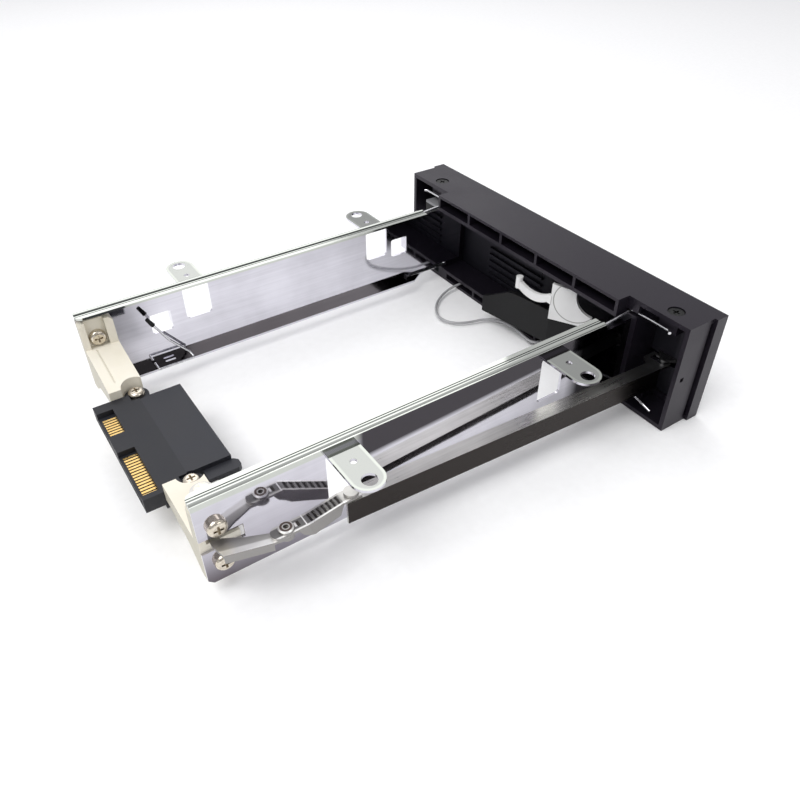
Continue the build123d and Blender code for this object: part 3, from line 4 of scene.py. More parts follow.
import bpy
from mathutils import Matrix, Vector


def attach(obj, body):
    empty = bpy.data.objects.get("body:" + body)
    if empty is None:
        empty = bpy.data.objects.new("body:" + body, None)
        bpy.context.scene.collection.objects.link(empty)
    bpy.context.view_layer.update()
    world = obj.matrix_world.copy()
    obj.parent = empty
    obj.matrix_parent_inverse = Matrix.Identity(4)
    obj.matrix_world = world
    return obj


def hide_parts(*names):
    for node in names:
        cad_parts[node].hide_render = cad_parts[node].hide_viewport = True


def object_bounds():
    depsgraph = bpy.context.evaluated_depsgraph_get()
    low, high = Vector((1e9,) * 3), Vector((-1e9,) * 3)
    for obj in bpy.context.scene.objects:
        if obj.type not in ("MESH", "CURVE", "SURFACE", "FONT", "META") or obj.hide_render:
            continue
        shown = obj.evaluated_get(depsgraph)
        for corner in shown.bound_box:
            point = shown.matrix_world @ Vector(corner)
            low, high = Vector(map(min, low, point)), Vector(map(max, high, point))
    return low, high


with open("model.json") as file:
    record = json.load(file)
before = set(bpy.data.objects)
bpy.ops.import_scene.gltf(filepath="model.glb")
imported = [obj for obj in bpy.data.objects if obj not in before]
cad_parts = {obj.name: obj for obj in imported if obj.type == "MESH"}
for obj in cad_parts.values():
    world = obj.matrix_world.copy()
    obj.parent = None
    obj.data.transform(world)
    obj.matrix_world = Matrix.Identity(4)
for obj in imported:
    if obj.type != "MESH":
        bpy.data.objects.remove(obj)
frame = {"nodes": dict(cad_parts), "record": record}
cad_low, cad_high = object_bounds()
nodes = frame["nodes"]

MM = 0.001

# Camera, as the photograph was taken: from behind, above and to the left
CAMERA_PLACE = (-178.5 * MM, 106.1 * MM, 166.1 * MM)
CAMERA_PITCH = 39.03
CAMERA_YAW = 56.02
CAMERA_ROLL = 0.12
CAMERA_FOCAL = 733.5
FRAME_WIDTH = 800
SENSOR_WIDTH = 36.0
CAMERA_SHIFT_Y = -0.0046

# The thin lead that loops out of the bezel's lower pockets
LEAD_DIAMETER = 1.0 * MM
LEAD_ROUTE_MM = [
    (39.3, -73.5, 2.3),
    (39.3, -69.3, 2.3),
    (38.7, -64.2, 1.7),
    (35.6, -57.6, 1.4),
    (30.4, -51.9, 1.3),
    (23.4, -48.9, 1.2),
    (17.2, -51.6, 1.2),
    (14.0, -57.4, 1.3),
    (12.4, -63.9, 1.5),
    (7.2, -68.4, 1.8),
    (0.4, -69.2, 2.0),
    (-6.0, -68.3, 2.2),
    (-10.6, -67.5, 2.3),
    (-13.4, -69.5, 2.3),
    (-13.4, -73.5, 2.3),
]


def make_camera():
    """The photograph's camera."""
    data = bpy.data.cameras.new("camera")
    data.sensor_width = SENSOR_WIDTH
    data.lens = CAMERA_FOCAL / FRAME_WIDTH * SENSOR_WIDTH
    data.shift_y = CAMERA_SHIFT_Y
    data.clip_start = 0.005
    camera = bpy.data.objects.new("camera", data)
    bpy.context.scene.collection.objects.link(camera)
    camera.location = CAMERA_PLACE
    camera.rotation_euler = (radians(90 - CAMERA_PITCH), radians(CAMERA_ROLL),
                             radians(180 + CAMERA_YAW))
    bpy.context.scene.camera = camera


def make_lead():
    """The lead as one smooth curve through its route."""
    curve = bpy.data.curves.new("indicator_lead_curve", "CURVE")
    curve.dimensions = "3D"
    curve.bevel_depth = 1.0
    curve.bevel_resolution = 6
    curve.resolution_u = 12
    curve.use_fill_caps = True
    spline = curve.splines.new("NURBS")
    spline.points.add(len(LEAD_ROUTE_MM) - 1)
    for point, (x, y, z) in zip(spline.points, LEAD_ROUTE_MM):
        point.co = (x * MM, y * MM, z * MM, 1.0)
        point.radius = LEAD_DIAMETER / 2
    spline.order_u = 3
    spline.use_endpoint_u = True
    lead = bpy.data.objects.new("lead_wire", curve)
    bpy.context.scene.collection.objects.link(lead)
    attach(lead, "frame")
    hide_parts("indicator_lead")
    x, y, z = LEAD_ROUTE_MM[0]
    return lead


make_camera()
lead = make_lead()


def new_material(name):
    """An empty material with a principled shader, and its node tree."""
    material = bpy.data.materials.new(name)
    material.use_nodes = True
    tree = material.node_tree
    return material, tree, tree.nodes["Principled BSDF"]


def coordinates(tree, stretch=(1.0, 1.0, 1.0)):
    """Object coordinates, scaled along each axis."""
    source = tree.nodes.new("ShaderNodeTexCoord")
    mapping = tree.nodes.new("ShaderNodeMapping")
    mapping.inputs["Scale"].default_value = stretch
    tree.links.new(source.outputs["Object"], mapping.inputs["Vector"])
    return mapping.outputs["Vector"]


def noise(tree, vector, scale, detail=3.0, roughness=0.5):
    """A noise texture's value."""
    node = tree.nodes.new("ShaderNodeTexNoise")
    node.inputs["Scale"].default_value = scale
    node.inputs["Detail"].default_value = detail
    node.inputs["Roughness"].default_value = roughness
    tree.links.new(vector, node.inputs["Vector"])
    return node.outputs["Fac"]


def between(tree, value, low, high, at=(0.3, 0.7)):
    """The value spread from low to high."""
    node = tree.nodes.new("ShaderNodeMapRange")
    node.inputs["From Min"].default_value = at[0]
    node.inputs["From Max"].default_value = at[1]
    node.inputs["To Min"].default_value = low
    node.inputs["To Max"].default_value = high
    tree.links.new(value, node.inputs["Value"])
    return node.outputs["Result"]


def shades(tree, value, dark, light, at=(0.3, 0.7)):
    """A colour that runs from dark to light with the value."""
    node = tree.nodes.new("ShaderNodeValToRGB")
    node.color_ramp.elements[0].position = at[0]
    node.color_ramp.elements[0].color = (*dark, 1.0)
    node.color_ramp.elements[1].position = at[1]
    node.color_ramp.elements[1].color = (*light, 1.0)
    tree.links.new(value, node.inputs["Fac"])
    return node.outputs["Color"]


def bump(tree, shader, value, distance, strength=1.0, after=None):
    """Bump from the value, on top of an earlier bump."""
    node = tree.nodes.new("ShaderNodeBump")
    node.inputs["Distance"].default_value = distance
    node.inputs["Strength"].default_value = strength
    tree.links.new(value, node.inputs["Height"])
    if after is not None:
        tree.links.new(after, node.inputs["Normal"])
    tree.links.new(node.outputs["Normal"], shader.inputs["Normal"])
    return node.outputs["Normal"]


def step(tree, value, low, high):
    """A soft step from 0 at the low value to 1 at the high one."""
    return between(tree, value, 0.0, 1.0, at=(low, high))


def math_node(tree, operation, first, second=None):
    """A math node on two values, each a socket or a number."""
    node = tree.nodes.new("ShaderNodeMath")
    node.operation = operation
    for socket, value in zip(node.inputs, (first, second)):
        if value is None:
            continue
        if isinstance(value, (int, float)):
            socket.default_value = value
        else:
            tree.links.new(value, socket)
    return node.outputs["Value"]


def minus(tree, first, second):
    """The first value less the second."""
    return math_node(tree, "SUBTRACT", first, second)


def apart(tree, first, second):
    """How far two values are from each other."""
    return math_node(tree, "ABSOLUTE", minus(tree, first, second))


def distance(tree, first, second):
    """The length of the vector with these two parts."""
    squares = [math_node(tree, "POWER", value, 2.0) for value in (first, second)]
    return math_node(tree, "SQRT", math_node(tree, "ADD", *squares))


def all_of(tree, *factors):
    """The product of several factors."""
    total = factors[0]
    for factor in factors[1:]:
        total = math_node(tree, "MULTIPLY", total, factor)
    return total


def under(tree, value, high, low):
    """A soft step from 1 at the low value to 0 at the high one."""
    return minus(tree, 1.0, step(tree, value, low, high))


def stripe(tree, value, middle, half, soft):
    """1 within a half width of the middle value, going softly to 0."""
    return under(tree, apart(tree, value, middle), half + soft, half)


def axes(tree, output, kind="ShaderNodeTexCoord"):
    """The three values of a vector output of a node that needs no input."""
    source = tree.nodes.new(kind)
    split = tree.nodes.new("ShaderNodeSeparateXYZ")
    tree.links.new(source.outputs[output], split.inputs["Vector"])
    return split.outputs["X"], split.outputs["Y"], split.outputs["Z"]


def normal(tree, axis):
    """How far the surface faces along an axis, from -1 to 1."""
    return axes(tree, "Normal", "ShaderNodeNewGeometry")["XYZ".index(axis)]


def blend_colours(tree, factor, first, second):
    """A mix of a colour socket and an RGB tuple."""
    node = tree.nodes.new("ShaderNodeMix")
    node.data_type = "RGBA"
    tree.links.new(factor, node.inputs["Factor"])
    tree.links.new(first, node.inputs[6])
    node.inputs[7].default_value = (*second, 1.0)
    return node.outputs[2]


def moulded_plastic(name, dark, light, roughness, grain=9000.0, grain_height=0.00002, gloss=0.5,
                    gloss_tint=(1.0, 1.0, 1.0)):
    """Moulded plastic: fine grain, slow flow marks and uneven gloss."""
    material, tree, shader = new_material(name)
    vector = coordinates(tree)
    flow = noise(tree, vector, PLASTIC_FLOW_SCALE, 4.0)
    fine = noise(tree, vector, grain, 2.0)
    tree.links.new(shades(tree, flow, dark, light), shader.inputs["Base Color"])
    tree.links.new(between(tree, flow, *roughness), shader.inputs["Roughness"])
    shader.inputs["Specular IOR Level"].default_value = gloss
    shader.inputs["Specular Tint"].default_value = (*gloss_tint, 1.0)
    soft = bump(tree, shader, flow, PLASTIC_FLOW_HEIGHT, 0.4)
    bump(tree, shader, fine, grain_height, 0.5, after=soft)
    return material


def rolled_steel(name, dark, light, roughness, stretch, scale=900.0, height=0.000004):
    """Bright sheet: long rolling lines and faint cloudy wear."""
    material, tree, shader = new_material(name)
    lines = noise(tree, coordinates(tree, stretch), scale, 4.0, 0.6)
    cloud = noise(tree, coordinates(tree), STEEL_CLOUD_SCALE, 3.0)
    mix = math_node(tree, "ADD", math_node(tree, "MULTIPLY", lines, 0.6),
                    between(tree, cloud, 0.0, 0.4))
    colour = shades(tree, mix, dark, light)
    tree.links.new(colour, shader.inputs["Base Color"])
    tree.links.new(between(tree, mix, *roughness), shader.inputs["Roughness"])
    shader.inputs["Metallic"].default_value = 1.0
    bump(tree, shader, lines, height, 0.6)
    return material, tree, shader, colour


def plated_metal(name, dark, light, roughness, scale=1400.0):
    """Plated or polished small metal with faint marks."""
    material, tree, shader = new_material(name)
    marks = noise(tree, coordinates(tree), scale, 3.0)
    tree.links.new(shades(tree, marks, dark, light), shader.inputs["Base Color"])
    tree.links.new(between(tree, marks, *roughness), shader.inputs["Roughness"])
    shader.inputs["Metallic"].default_value = 1.0
    bump(tree, shader, marks, PLATING_MARK_HEIGHT, 0.3)
    return material


def opened(material):
    """A finished plastic as its material, tree, shader and colour."""
    shader = material.node_tree.nodes["Principled BSDF"]
    colour = shader.inputs["Base Color"].links[0].from_socket
    return material, material.node_tree, shader, colour


def tinted(made, factor, tint):
    """A material whose colour goes over to a tint where the factor is high."""
    material, tree, shader, colour = made
    colour = blend_colours(tree, factor, colour, tint)
    tree.links.new(colour, shader.inputs["Base Color"])
    return material, tree, shader, colour


# Grain of the materials: noise scales per metre and bump heights in metres
PLASTIC_FLOW_SCALE = 60.0
PLASTIC_FLOW_HEIGHT = 0.00004
STEEL_CLOUD_SCALE = 45.0
PLATING_MARK_HEIGHT = 0.00001

# Side plates: rolled sheet, the ears on it and the rail along its top
SHEET = dict(dark=(0.58, 0.57, 0.62), light=(0.73, 0.72, 0.78), roughness=(0.03, 0.1),
             stretch=(1.0, 0.02, 1.0))
EAR_MIDDLES = (-36.7 * MM, 39.8 * MM)
EAR_ROOT = (52.4 * MM, 53.0 * MM)
EAR_TIP = 64.9 * MM
EAR_RIM = (4.3 * MM, 3.9 * MM)
EAR_TINT = (0.46, 0.48, 0.44)
EAR_MIDDLE_TINT = (0.36, 0.37, 0.35)
RAIL_BOTTOM = (33.4 * MM, 33.8 * MM)
RAIL_OUTSIDE = (52.2 * MM, 51.9 * MM)
RAIL_TINT = (0.56, 0.58, 0.54)
# Dark lines along the rail, painted shade and reflections of its rounded bead: place off the
# middle of the cage, half width, softness and tint
RAIL_SHADE_LINES = [
    (48.65 * MM, 0.14 * MM, 0.1 * MM, (0.1, 0.11, 0.1)),
    (49.6 * MM, 0.22 * MM, 0.2 * MM, (0.13, 0.14, 0.13)),
]

# Left plate, outside: painted reflections; the dark band under the rail falls towards the rear,
# and the nose, the tail and the lower rear corner are tinted too
BAND_FALL = -0.0454
BAND_BOTTOM = 27.4 * MM
BAND_REAR = (36.0 * MM, 33.0 * MM)
BAND_REFLECTION_TINT = (0.06, 0.055, 0.062)
NOSE_REAR = (-44.0 * MM, -50.0 * MM)
NOSE_REFLECTION_TINT = (0.02, 0.018, 0.022)
TAIL_FRONT = (36.0 * MM, 50.0 * MM)
TAIL_HEIGHT = (33.0 * MM, 6.0 * MM)
TAIL_REFLECTION_TINT = (0.4, 0.38, 0.43)
CORNER_RISE = -0.1
CORNER_FRONT = (45.0 * MM, 75.0 * MM)
CORNER_HEIGHT = (9.0 * MM, -3.0 * MM)
CORNER_REFLECTION_TINT = (0.1, 0.085, 0.095)

# Right plate's floor flange and the bar's front end and web, painted dark as reflections
FLANGE_TOP = (8.2 * MM, 7.4 * MM)
FLANGE_REFLECTION_TINT = (0.05, 0.045, 0.045)
BAR_FRONT = (-50.0 * MM, -72.0 * MM)
BAR_FRONT_REFLECTION_TINT = (0.4, 0.4, 0.4)
BAR_WEB_REFLECTION_TINT = (0.035, 0.03, 0.028)

# Stamped sheet of the lever and the link: tints of painted shade and painted highlight
STAMPED_SHADE_TINT = (0.3, 0.29, 0.28)
STAMPED_HIGHLIGHT_TINT = (0.97, 0.96, 0.93)

# Link: its line along X and Y, the rungs' start and spacing along Y, and the marks across it,
# with painted shade in the channel, rungs and mark and painted highlights on the crimp and crease
LINK_TOP = (-59.2 * MM, 55.3 * MM)
LINK_FOOT = (-55.0 * MM, 42.9 * MM)
LINK_EDGE = (-1.4 * MM, -1.6 * MM)
CHANNEL_HALF = (1.6 * MM, 1.35 * MM)
CHANNEL_FRONT = (42.0 * MM, 43.5 * MM)
CHANNEL_SHADE_TINT = (0.2, 0.195, 0.19)
RUNG_START = 54.9 * MM
RUNG_PITCH = 1.676 * MM
RUNG_COUNT = 7
RUNG_SHADE_TINT = (0.03, 0.027, 0.027)
MARK_Y = 57.7 * MM
MARK_SHADE_TINT = (0.06, 0.055, 0.05)
CRIMP_Y = 58.5 * MM
CRIMP_HIGHLIGHT_TINT = (0.85, 0.84, 0.82)
CREASE_Y = 55.9 * MM
CREASE_HIGHLIGHT_TINT = (0.95, 0.94, 0.92)

# Lever's outer fold, from its rear end to its front end, with a painted highlight, and the field
# inside it dulled by painted shade
FOLD_REAR = (-57.8 * MM, 73.7 * MM)
FOLD_FRONT = (-61.0 * MM, 61.4 * MM)
FOLD_WIDTH = (1.1 * MM, 0.6 * MM)
FIELD_NEAR = (1.0 * MM, 3.5 * MM)
FIELD_FAR = (7.0 * MM, 4.5 * MM)

# Rivet that joins the lever and the link, with painted shade in a ring round its bore and in the
# bore
RIVET_CENTRE = (-59.2 * MM, 61.1 * MM)
RIVET_RING = 1.35 * MM
RIVET_RING_SHADE_TINT = (0.12, 0.09, 0.08)
RIVET_BORE = (0.72 * MM, 0.6 * MM)
RIVET_BORE_SHADE_TINT = (0.08, 0.06, 0.05)

# Round ridge on the pad's face: centre along X and Z, the face's lean off X, the radius, and the
# tint of its painted shadow line
RIDGE_CENTRE = (-27.6 * MM, 27.1 * MM)
RIDGE_LEAN = 0.872
RIDGE_RADIUS = 8.0 * MM
RIDGE_SHADOW_TINT = (0.3, 0.3, 0.28)

# Painted shade on the crossbar's rear faces
CROSSBAR_REAR_SHADE_TINT = (0.5, 0.475, 0.39)


def plate_sheet(name):
    """Bright sheet with rails striped by painted shade and reflection lines, and duller ears with
    a bright rim.
    """
    made = rolled_steel(name, **SHEET)
    tree = made[1]
    x, y, z = axes(tree, "Object")
    reach = math_node(tree, "ABSOLUTE", x)
    middle = (EAR_MIDDLES[0] + EAR_MIDDLES[1]) / 2
    spread = (EAR_MIDDLES[1] - EAR_MIDDLES[0]) / 2
    across = apart(tree, apart(tree, y, middle), spread)
    along = math_node(tree, "MAXIMUM", minus(tree, reach, EAR_TIP), 0.0)
    inside = under(tree, distance(tree, across, along), *EAR_RIM)
    ear = all_of(tree, step(tree, normal(tree, "Z"), 0.5, 0.9), step(tree, reach, *EAR_ROOT))
    made = tinted(made, ear, EAR_TINT)
    made = tinted(made, all_of(tree, ear, inside), EAR_MIDDLE_TINT)
    rail = all_of(tree, step(tree, z, *RAIL_BOTTOM), under(tree, reach, *RAIL_OUTSIDE))
    made = tinted(made, rail, RAIL_TINT)
    # Painted shade and reflection lines along the rail
    for place, half, soft, tint in RAIL_SHADE_LINES:
        made = tinted(made, all_of(tree, rail, stripe(tree, reach, place, half, soft)), tint)
    return made


def left_plate_look():
    """Left plate, outside: painted reflections, dark under its rail and at its nose, duller at
    its rear, and dark at its lower rear corner.
    """
    made = plate_sheet("left_plate_sheet")
    tree = made[1]
    x, y, z = axes(tree, "Object")
    outward = step(tree, math_node(tree, "MULTIPLY", normal(tree, "X"), -1.0), 0.6, 0.9)
    edge = math_node(tree, "ADD", math_node(tree, "MULTIPLY", y, BAND_FALL), BAND_BOTTOM)
    above = step(tree, minus(tree, z, edge), -0.6 * MM, 1.2 * MM)
    # Painted reflections on the outer face: band under the rail, nose, tail and lower rear corner
    made = tinted(made, all_of(tree, outward, above, under(tree, y, *BAND_REAR)), BAND_REFLECTION_TINT)
    made = tinted(made, all_of(tree, outward, under(tree, y, *NOSE_REAR)), NOSE_REFLECTION_TINT)
    tail = all_of(tree, outward, step(tree, y, *TAIL_FRONT), under(tree, z, *TAIL_HEIGHT))
    made = tinted(made, tail, TAIL_REFLECTION_TINT)
    height = math_node(tree, "ADD", z, math_node(tree, "MULTIPLY", y, CORNER_RISE))
    lower = under(tree, height, *CORNER_HEIGHT)
    corner = all_of(tree, outward, lower, step(tree, y, *CORNER_FRONT))
    return tinted(made, corner, CORNER_REFLECTION_TINT)[0]


def right_plate_look():
    """Right plate: its floor flange is painted dark, a painted reflection."""
    made = plate_sheet("right_plate_sheet")
    tree = made[1]
    low = under(tree, axes(tree, "Object")[2], *FLANGE_TOP)
    flange = all_of(tree, step(tree, normal(tree, "Z"), 0.5, 0.9), low)
    # Painted dark reflection on the floor flange
    return tinted(made, flange, FLANGE_REFLECTION_TINT)[0]


def bar_look():
    """Pull bar: satin flange on top, with painted reflections darkening its front end and its
    web.
    """
    made = rolled_steel("bar_sheet", (0.6, 0.59, 0.55), (0.84, 0.83, 0.78), (0.24, 0.36),
                        (1.0, 0.03, 1.0), scale=1300.0, height=0.000002)
    tree = made[1]
    # Painted reflections: darker front end and dark web
    made = tinted(made, under(tree, axes(tree, "Object")[1], *BAR_FRONT), BAR_FRONT_REFLECTION_TINT)
    sideways = math_node(tree, "ABSOLUTE", normal(tree, "X"))
    return tinted(made, step(tree, sideways, 0.6, 0.9), BAR_WEB_REFLECTION_TINT)[0]


def lever_sheet(name):
    """Satin stamped sheet of the lever and the link, with painted shade on its sides and painted
    highlights on its rounded edges.
    """
    made = rolled_steel(name, (0.46, 0.45, 0.43), (0.62, 0.61, 0.58), (0.3, 0.42),
                        (1.0, 0.2, 1.0), scale=500.0, height=0.0000004)
    tree, shader = made[1:3]
    shader.inputs["Metallic"].default_value = 0.85
    upward = normal(tree, "Z")
    # Painted shade on the sides and painted highlights on the rounded edges
    made = tinted(made, under(tree, upward, 0.3, 0.2), STAMPED_SHADE_TINT)
    edge = all_of(tree, step(tree, upward, 0.3, 0.4), under(tree, upward, 0.95, 0.92))
    return tinted(made, edge, STAMPED_HIGHLIGHT_TINT)


def link_look():
    """Link: painted shade on its top between painted highlights on its long edges, with painted
    shade in its rungs and mark and painted highlights on its crimp and crease.
    """
    made = lever_sheet("link_sheet")
    tree = made[1]
    x, y, z = axes(tree, "Object")
    upward = step(tree, normal(tree, "Z"), 0.5, 0.8)
    run = LINK_FOOT[1] - LINK_TOP[1]
    lean = (LINK_FOOT[0] - LINK_TOP[0]) / run
    ahead = math_node(tree, "MINIMUM", minus(tree, y, LINK_TOP[1]), 0.0)
    within_run = math_node(tree, "MAXIMUM", ahead, run)
    line = math_node(tree, "ADD", math_node(tree, "MULTIPLY", within_run, lean), LINK_TOP[0])
    off = minus(tree, x, line)
    aside = math_node(tree, "ABSOLUTE", off)
    # Painted highlights on the long edges, painted shade in the channel, rungs and mark, painted
    # highlights on crimp and crease
    made = tinted(made, all_of(tree, upward, under(tree, off, *LINK_EDGE)), STAMPED_HIGHLIGHT_TINT)
    channel = all_of(tree, upward, under(tree, aside, *CHANNEL_HALF),
                     step(tree, y, *CHANNEL_FRONT))
    made = tinted(made, channel, CHANNEL_SHADE_TINT)
    count = math_node(tree, "DIVIDE", minus(tree, RUNG_START, y), RUNG_PITCH)
    phase = apart(tree, math_node(tree, "FRACT", count), 0.5)
    rungs = all_of(tree, channel, under(tree, phase, 0.3, 0.22), step(tree, count, 0.0, 0.02),
                   under(tree, count, RUNG_COUNT + 0.02, RUNG_COUNT))
    made = tinted(made, rungs, RUNG_SHADE_TINT)
    mark = all_of(tree, channel, stripe(tree, y, MARK_Y, 0.35 * MM, 0.1 * MM),
                  under(tree, aside, 1.0 * MM, 0.9 * MM))
    made = tinted(made, mark, MARK_SHADE_TINT)
    crimp = all_of(tree, channel, stripe(tree, y, CRIMP_Y, 0.25 * MM, 0.1 * MM),
                   under(tree, aside, 0.8 * MM, 0.7 * MM))
    made = tinted(made, crimp, CRIMP_HIGHLIGHT_TINT)
    crease = stripe(tree, y, CREASE_Y, 0.12 * MM, 0.1 * MM)
    return tinted(made, all_of(tree, upward, crease), CREASE_HIGHLIGHT_TINT)[0]


def lever_look():
    """Lever: painted highlight along its outer fold, painted shade towards the plate."""
    made = lever_sheet("lever_sheet")
    tree = made[1]
    x, y, z = axes(tree, "Object")
    upward = step(tree, normal(tree, "Z"), 0.5, 0.8)
    lean = (FOLD_REAR[0] - FOLD_FRONT[0]) / (FOLD_REAR[1] - FOLD_FRONT[1])
    behind = math_node(tree, "MULTIPLY", minus(tree, y, FOLD_REAR[1]), lean)
    inwards = minus(tree, x, math_node(tree, "ADD", behind, FOLD_REAR[0]))
    # Painted shade in the field and a painted highlight along the fold
    field = all_of(tree, upward, step(tree, inwards, *FIELD_NEAR),
                   under(tree, inwards, *FIELD_FAR))
    made = tinted(made, field, STAMPED_SHADE_TINT)
    fold = all_of(tree, upward, under(tree, inwards, *FOLD_WIDTH))
    return tinted(made, fold, STAMPED_HIGHLIGHT_TINT)[0]


def rivet_look():
    """A rolled rivet head: painted shade in a ring round its bore and in the bore, leaving a
    brighter rim.
    """
    made = lever_sheet("rivet_sheet")
    tree = made[1]
    x, y, z = axes(tree, "Object")
    away = distance(tree, minus(tree, x, RIVET_CENTRE[0]), minus(tree, y, RIVET_CENTRE[1]))
    # Painted shade in the ring and the bore
    ring = stripe(tree, away, RIVET_RING, 0.25 * MM, 0.12 * MM)
    made = tinted(made, ring, RIVET_RING_SHADE_TINT)
    return tinted(made, under(tree, away, *RIVET_BORE), RIVET_BORE_SHADE_TINT)[0]


def crossbar_look():
    """Ivory plastic with painted shade on its rear faces."""
    made = opened(moulded_plastic("crossbar_plastic", (0.76, 0.71, 0.59), (0.83, 0.79, 0.69),
                                  (0.4, 0.55)))
    # Painted shade on faces turned to the rear
    rearward = step(made[1], normal(made[1], "Y"), 0.5, 0.9)
    return tinted(made, rearward, CROSSBAR_REAR_SHADE_TINT)[0]


def pad_look():
    """White pad with the shadow line of the round ridge on its face."""
    made = opened(moulded_plastic("pad_plastic", (0.7, 0.7, 0.69), (0.82, 0.82, 0.81),
                                  (0.35, 0.5)))
    tree = made[1]
    x, y, z = axes(tree, "Object")
    rearward = step(tree, normal(tree, "Y"), 0.6, 0.8)
    across = math_node(tree, "DIVIDE", minus(tree, x, RIDGE_CENTRE[0]), RIDGE_LEAN)
    away = distance(tree, across, minus(tree, z, RIDGE_CENTRE[1]))
    # Painted shadow line along the ridge
    line = stripe(tree, away, RIDGE_RADIUS, 0.08 * MM, 0.2 * MM)
    return tinted(made, all_of(tree, rearward, line), RIDGE_SHADOW_TINT)[0]


ADAPTER_GRAIN = dict(grain=5000.0, grain_height=0.00004)
looks = {
    "bezel_black": moulded_plastic("bezel_plastic", (0.0055, 0.0045, 0.0075),
                                   (0.01, 0.0085, 0.0125), (0.34, 0.44), gloss=0.36,
                                   gloss_tint=(0.95, 0.86, 1.0)),
    "door_black": moulded_plastic("door_plastic", (0.004, 0.004, 0.006), (0.008, 0.008, 0.011),
                                  (0.4, 0.55), gloss=0.3, gloss_tint=(0.9, 0.86, 1.0)),
    "arm_black": moulded_plastic("arm_plastic", (0.003, 0.003, 0.0035), (0.006, 0.006, 0.0065),
                                 (0.4, 0.55), gloss=0.25),
    "pad_white": pad_look(),
    "plate_steel": rolled_steel("plate_sheet", **SHEET)[0],
    "spring_steel": plated_metal("spring_wire", (0.5, 0.5, 0.52), (0.72, 0.72, 0.74),
                                 (0.15, 0.28)),
    "linkage_steel": lever_sheet("linkage_sheet")[0],
    "screw_nickel": plated_metal("screw_plating", (0.55, 0.49, 0.4), (0.76, 0.7, 0.6),
                                 (0.16, 0.3)),
    "screw_black": plated_metal("screw_oxide", (0.02, 0.02, 0.02), (0.05, 0.05, 0.05),
                                (0.3, 0.5)),
    "crossbar_ivory": crossbar_look(),
    "adapter_black": moulded_plastic("adapter_plastic", (0.0075, 0.008, 0.0115),
                                     (0.0145, 0.0155, 0.021), (0.5, 0.65), **ADAPTER_GRAIN),
    "board_green": moulded_plastic("board_mask", (0.01, 0.09, 0.03), (0.02, 0.14, 0.05),
                                   (0.25, 0.35)),
    "contact_gold": plated_metal("contact_plating", (0.62, 0.4, 0.13), (0.82, 0.58, 0.24),
                                 (0.2, 0.34), 900.0),
    "switch_grey": moulded_plastic("switch_plastic", (0.16, 0.16, 0.17), (0.22, 0.22, 0.23),
                                   (0.4, 0.55)),
    "lens_clear": moulded_plastic("lens_plastic", (0.55, 0.6, 0.65), (0.65, 0.7, 0.75),
                                  (0.1, 0.2)),
    "lead_grey": moulded_plastic("lead_sleeve", (0.3, 0.3, 0.31), (0.42, 0.42, 0.43),
                                 (0.4, 0.55)),
}
# Pieces whose look differs from the rest of their slot
own_looks = {
    "left_side_plate": left_plate_look(),
    "right_side_plate": right_plate_look(),
    "push_bar": bar_look(),
    "ejector_link": link_look(),
    "ejector_lever": lever_look(),
    "lever_rivet": rivet_look(),
    "adapter_drive_shell": moulded_plastic("drive_shell_plastic", (0.012, 0.0125, 0.0175),
                                           (0.021, 0.0225, 0.03), (0.5, 0.62),
                                           **ADAPTER_GRAIN),
    # The crank's dark plating is painted shade, as it sits in shadow
    "door_crank": plated_metal("crank_plating_painted_shade", (0.1, 0.1, 0.1), (0.18, 0.18, 0.18),
                               (0.3, 0.45)),
}

for entry in frame["record"]["subparts"]:
    mesh = nodes[entry["node"]].data
    mesh.materials.clear()
    mesh.materials.append(own_looks.get(entry["node"], looks[entry["material_slot"]]))
lead.data.materials.append(looks["lead_grey"])

# Rounded edges on the CAD pieces in millimetres, small enough to keep their shape
EDGE_ROUND = {
    "bezel_body": 0.35, "front_fascia": 0.35, "door_panel": 0.25, "pusher_arm": 0.3,
    "pusher_pad": 0.25, "latch_button": 0.3, "rear_crossbar": 0.35,
    "adapter_drive_shell": 0.25, "adapter_cable_shell": 0.22, "left_side_plate": 0.12,
    "right_side_plate": 0.12, "push_bar": 0.15, "ejector_lever": 0.15, "ejector_link": 0.12,
    "door_crank": 0.15, "door_switch": 0.25, "door_switch_cap": 0.2,
}
EDGE_ANGLE = 35
for name, size in EDGE_ROUND.items():
    piece = nodes[name]
    rounding = piece.modifiers.new("edge_round", "BEVEL")
    rounding.width = size * MM
    rounding.segments = 2
    rounding.limit_method = "ANGLE"
    rounding.angle_limit = radians(EDGE_ANGLE)
    rounding.harden_normals = False


FLOOR_HALF = 3.0
FLOOR_DROP = 0.2 * MM


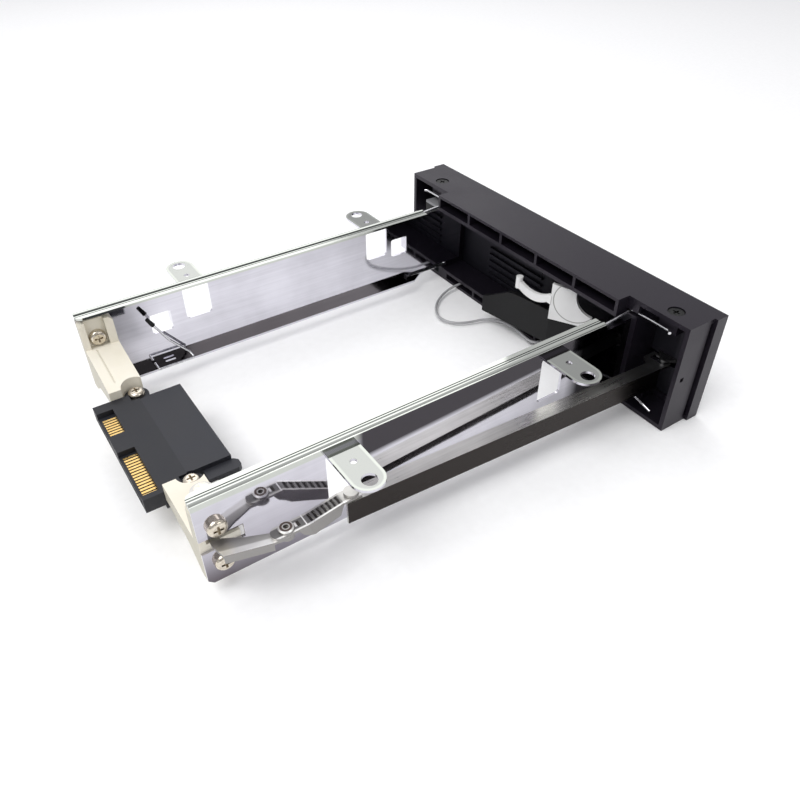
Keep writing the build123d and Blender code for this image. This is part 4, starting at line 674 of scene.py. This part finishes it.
def make_floor():
    """A pale floor just under the object."""
    mesh = bpy.data.meshes.new("floor")
    level = cad_low[2] - FLOOR_DROP
    signs = ((-1, -1), (1, -1), (1, 1), (-1, 1))
    corners = [(FLOOR_HALF * x, FLOOR_HALF * y, level) for x, y in signs]
    mesh.from_pydata(corners, [], [(0, 1, 2, 3)])
    floor = bpy.data.objects.new("floor", mesh)
    bpy.context.scene.collection.objects.link(floor)
    material, tree, shader = new_material("floor_paper")
    grain = noise(tree, coordinates(tree), 300.0)
    colour = shades(tree, grain, (0.94, 0.94, 0.94), (0.97, 0.97, 0.97))
    tree.links.new(colour, shader.inputs["Base Color"])
    shader.inputs["Roughness"].default_value = 0.8
    mesh.materials.append(material)


def make_light(name, place, aim, size, power):
    """A square area light that points from its place to its aim."""
    data = bpy.data.lights.new(name, "AREA")
    data.shape = "SQUARE"
    data.size = size
    data.energy = power
    light = bpy.data.objects.new(name, data)
    bpy.context.scene.collection.objects.link(light)
    light.location = place
    direction = Vector(aim) - Vector(place)
    light.rotation_euler = direction.to_track_quat("-Z", "Y").to_euler()


WORLD_STRENGTH = 0.9


def make_world():
    """A pale studio, brighter overhead and on the object's right."""
    world = bpy.data.worlds.new("room")
    bpy.context.scene.world = world
    world.use_nodes = True
    tree = world.node_tree
    background = tree.nodes["Background"]
    x, y, z = axes(tree, "Generated")
    side = between(tree, x, 0.0, 0.75, at=(-0.45, 0.7))
    height = between(tree, z, 0.0, 0.5, at=(0.45, 1.0))
    total = math_node(tree, "ADD", side, height)
    colour = shades(tree, total, (0.5, 0.5, 0.51), (0.97, 0.97, 1.0), at=(0.0, 1.0))
    tree.links.new(colour, background.inputs["Color"])
    background.inputs["Strength"].default_value = WORLD_STRENGTH


make_floor()
make_world()
# Lights: place and aim in metres, side of the square in metres and power in watts
make_light("key", place=(-0.1, 0.45, 0.75), aim=(0, 0, 0), size=0.5, power=4.2)
make_light("fill", place=(-0.75, -0.35, 0.45), aim=(0, 0, 0), size=0.35, power=0.9)
make_light("back", place=(0.5, -0.2, 0.6), aim=(0, 0, 0.02), size=0.6, power=1.3)
bpy.context.scene.view_settings.view_transform = "Standard"

bpy.context.view_layer.update()
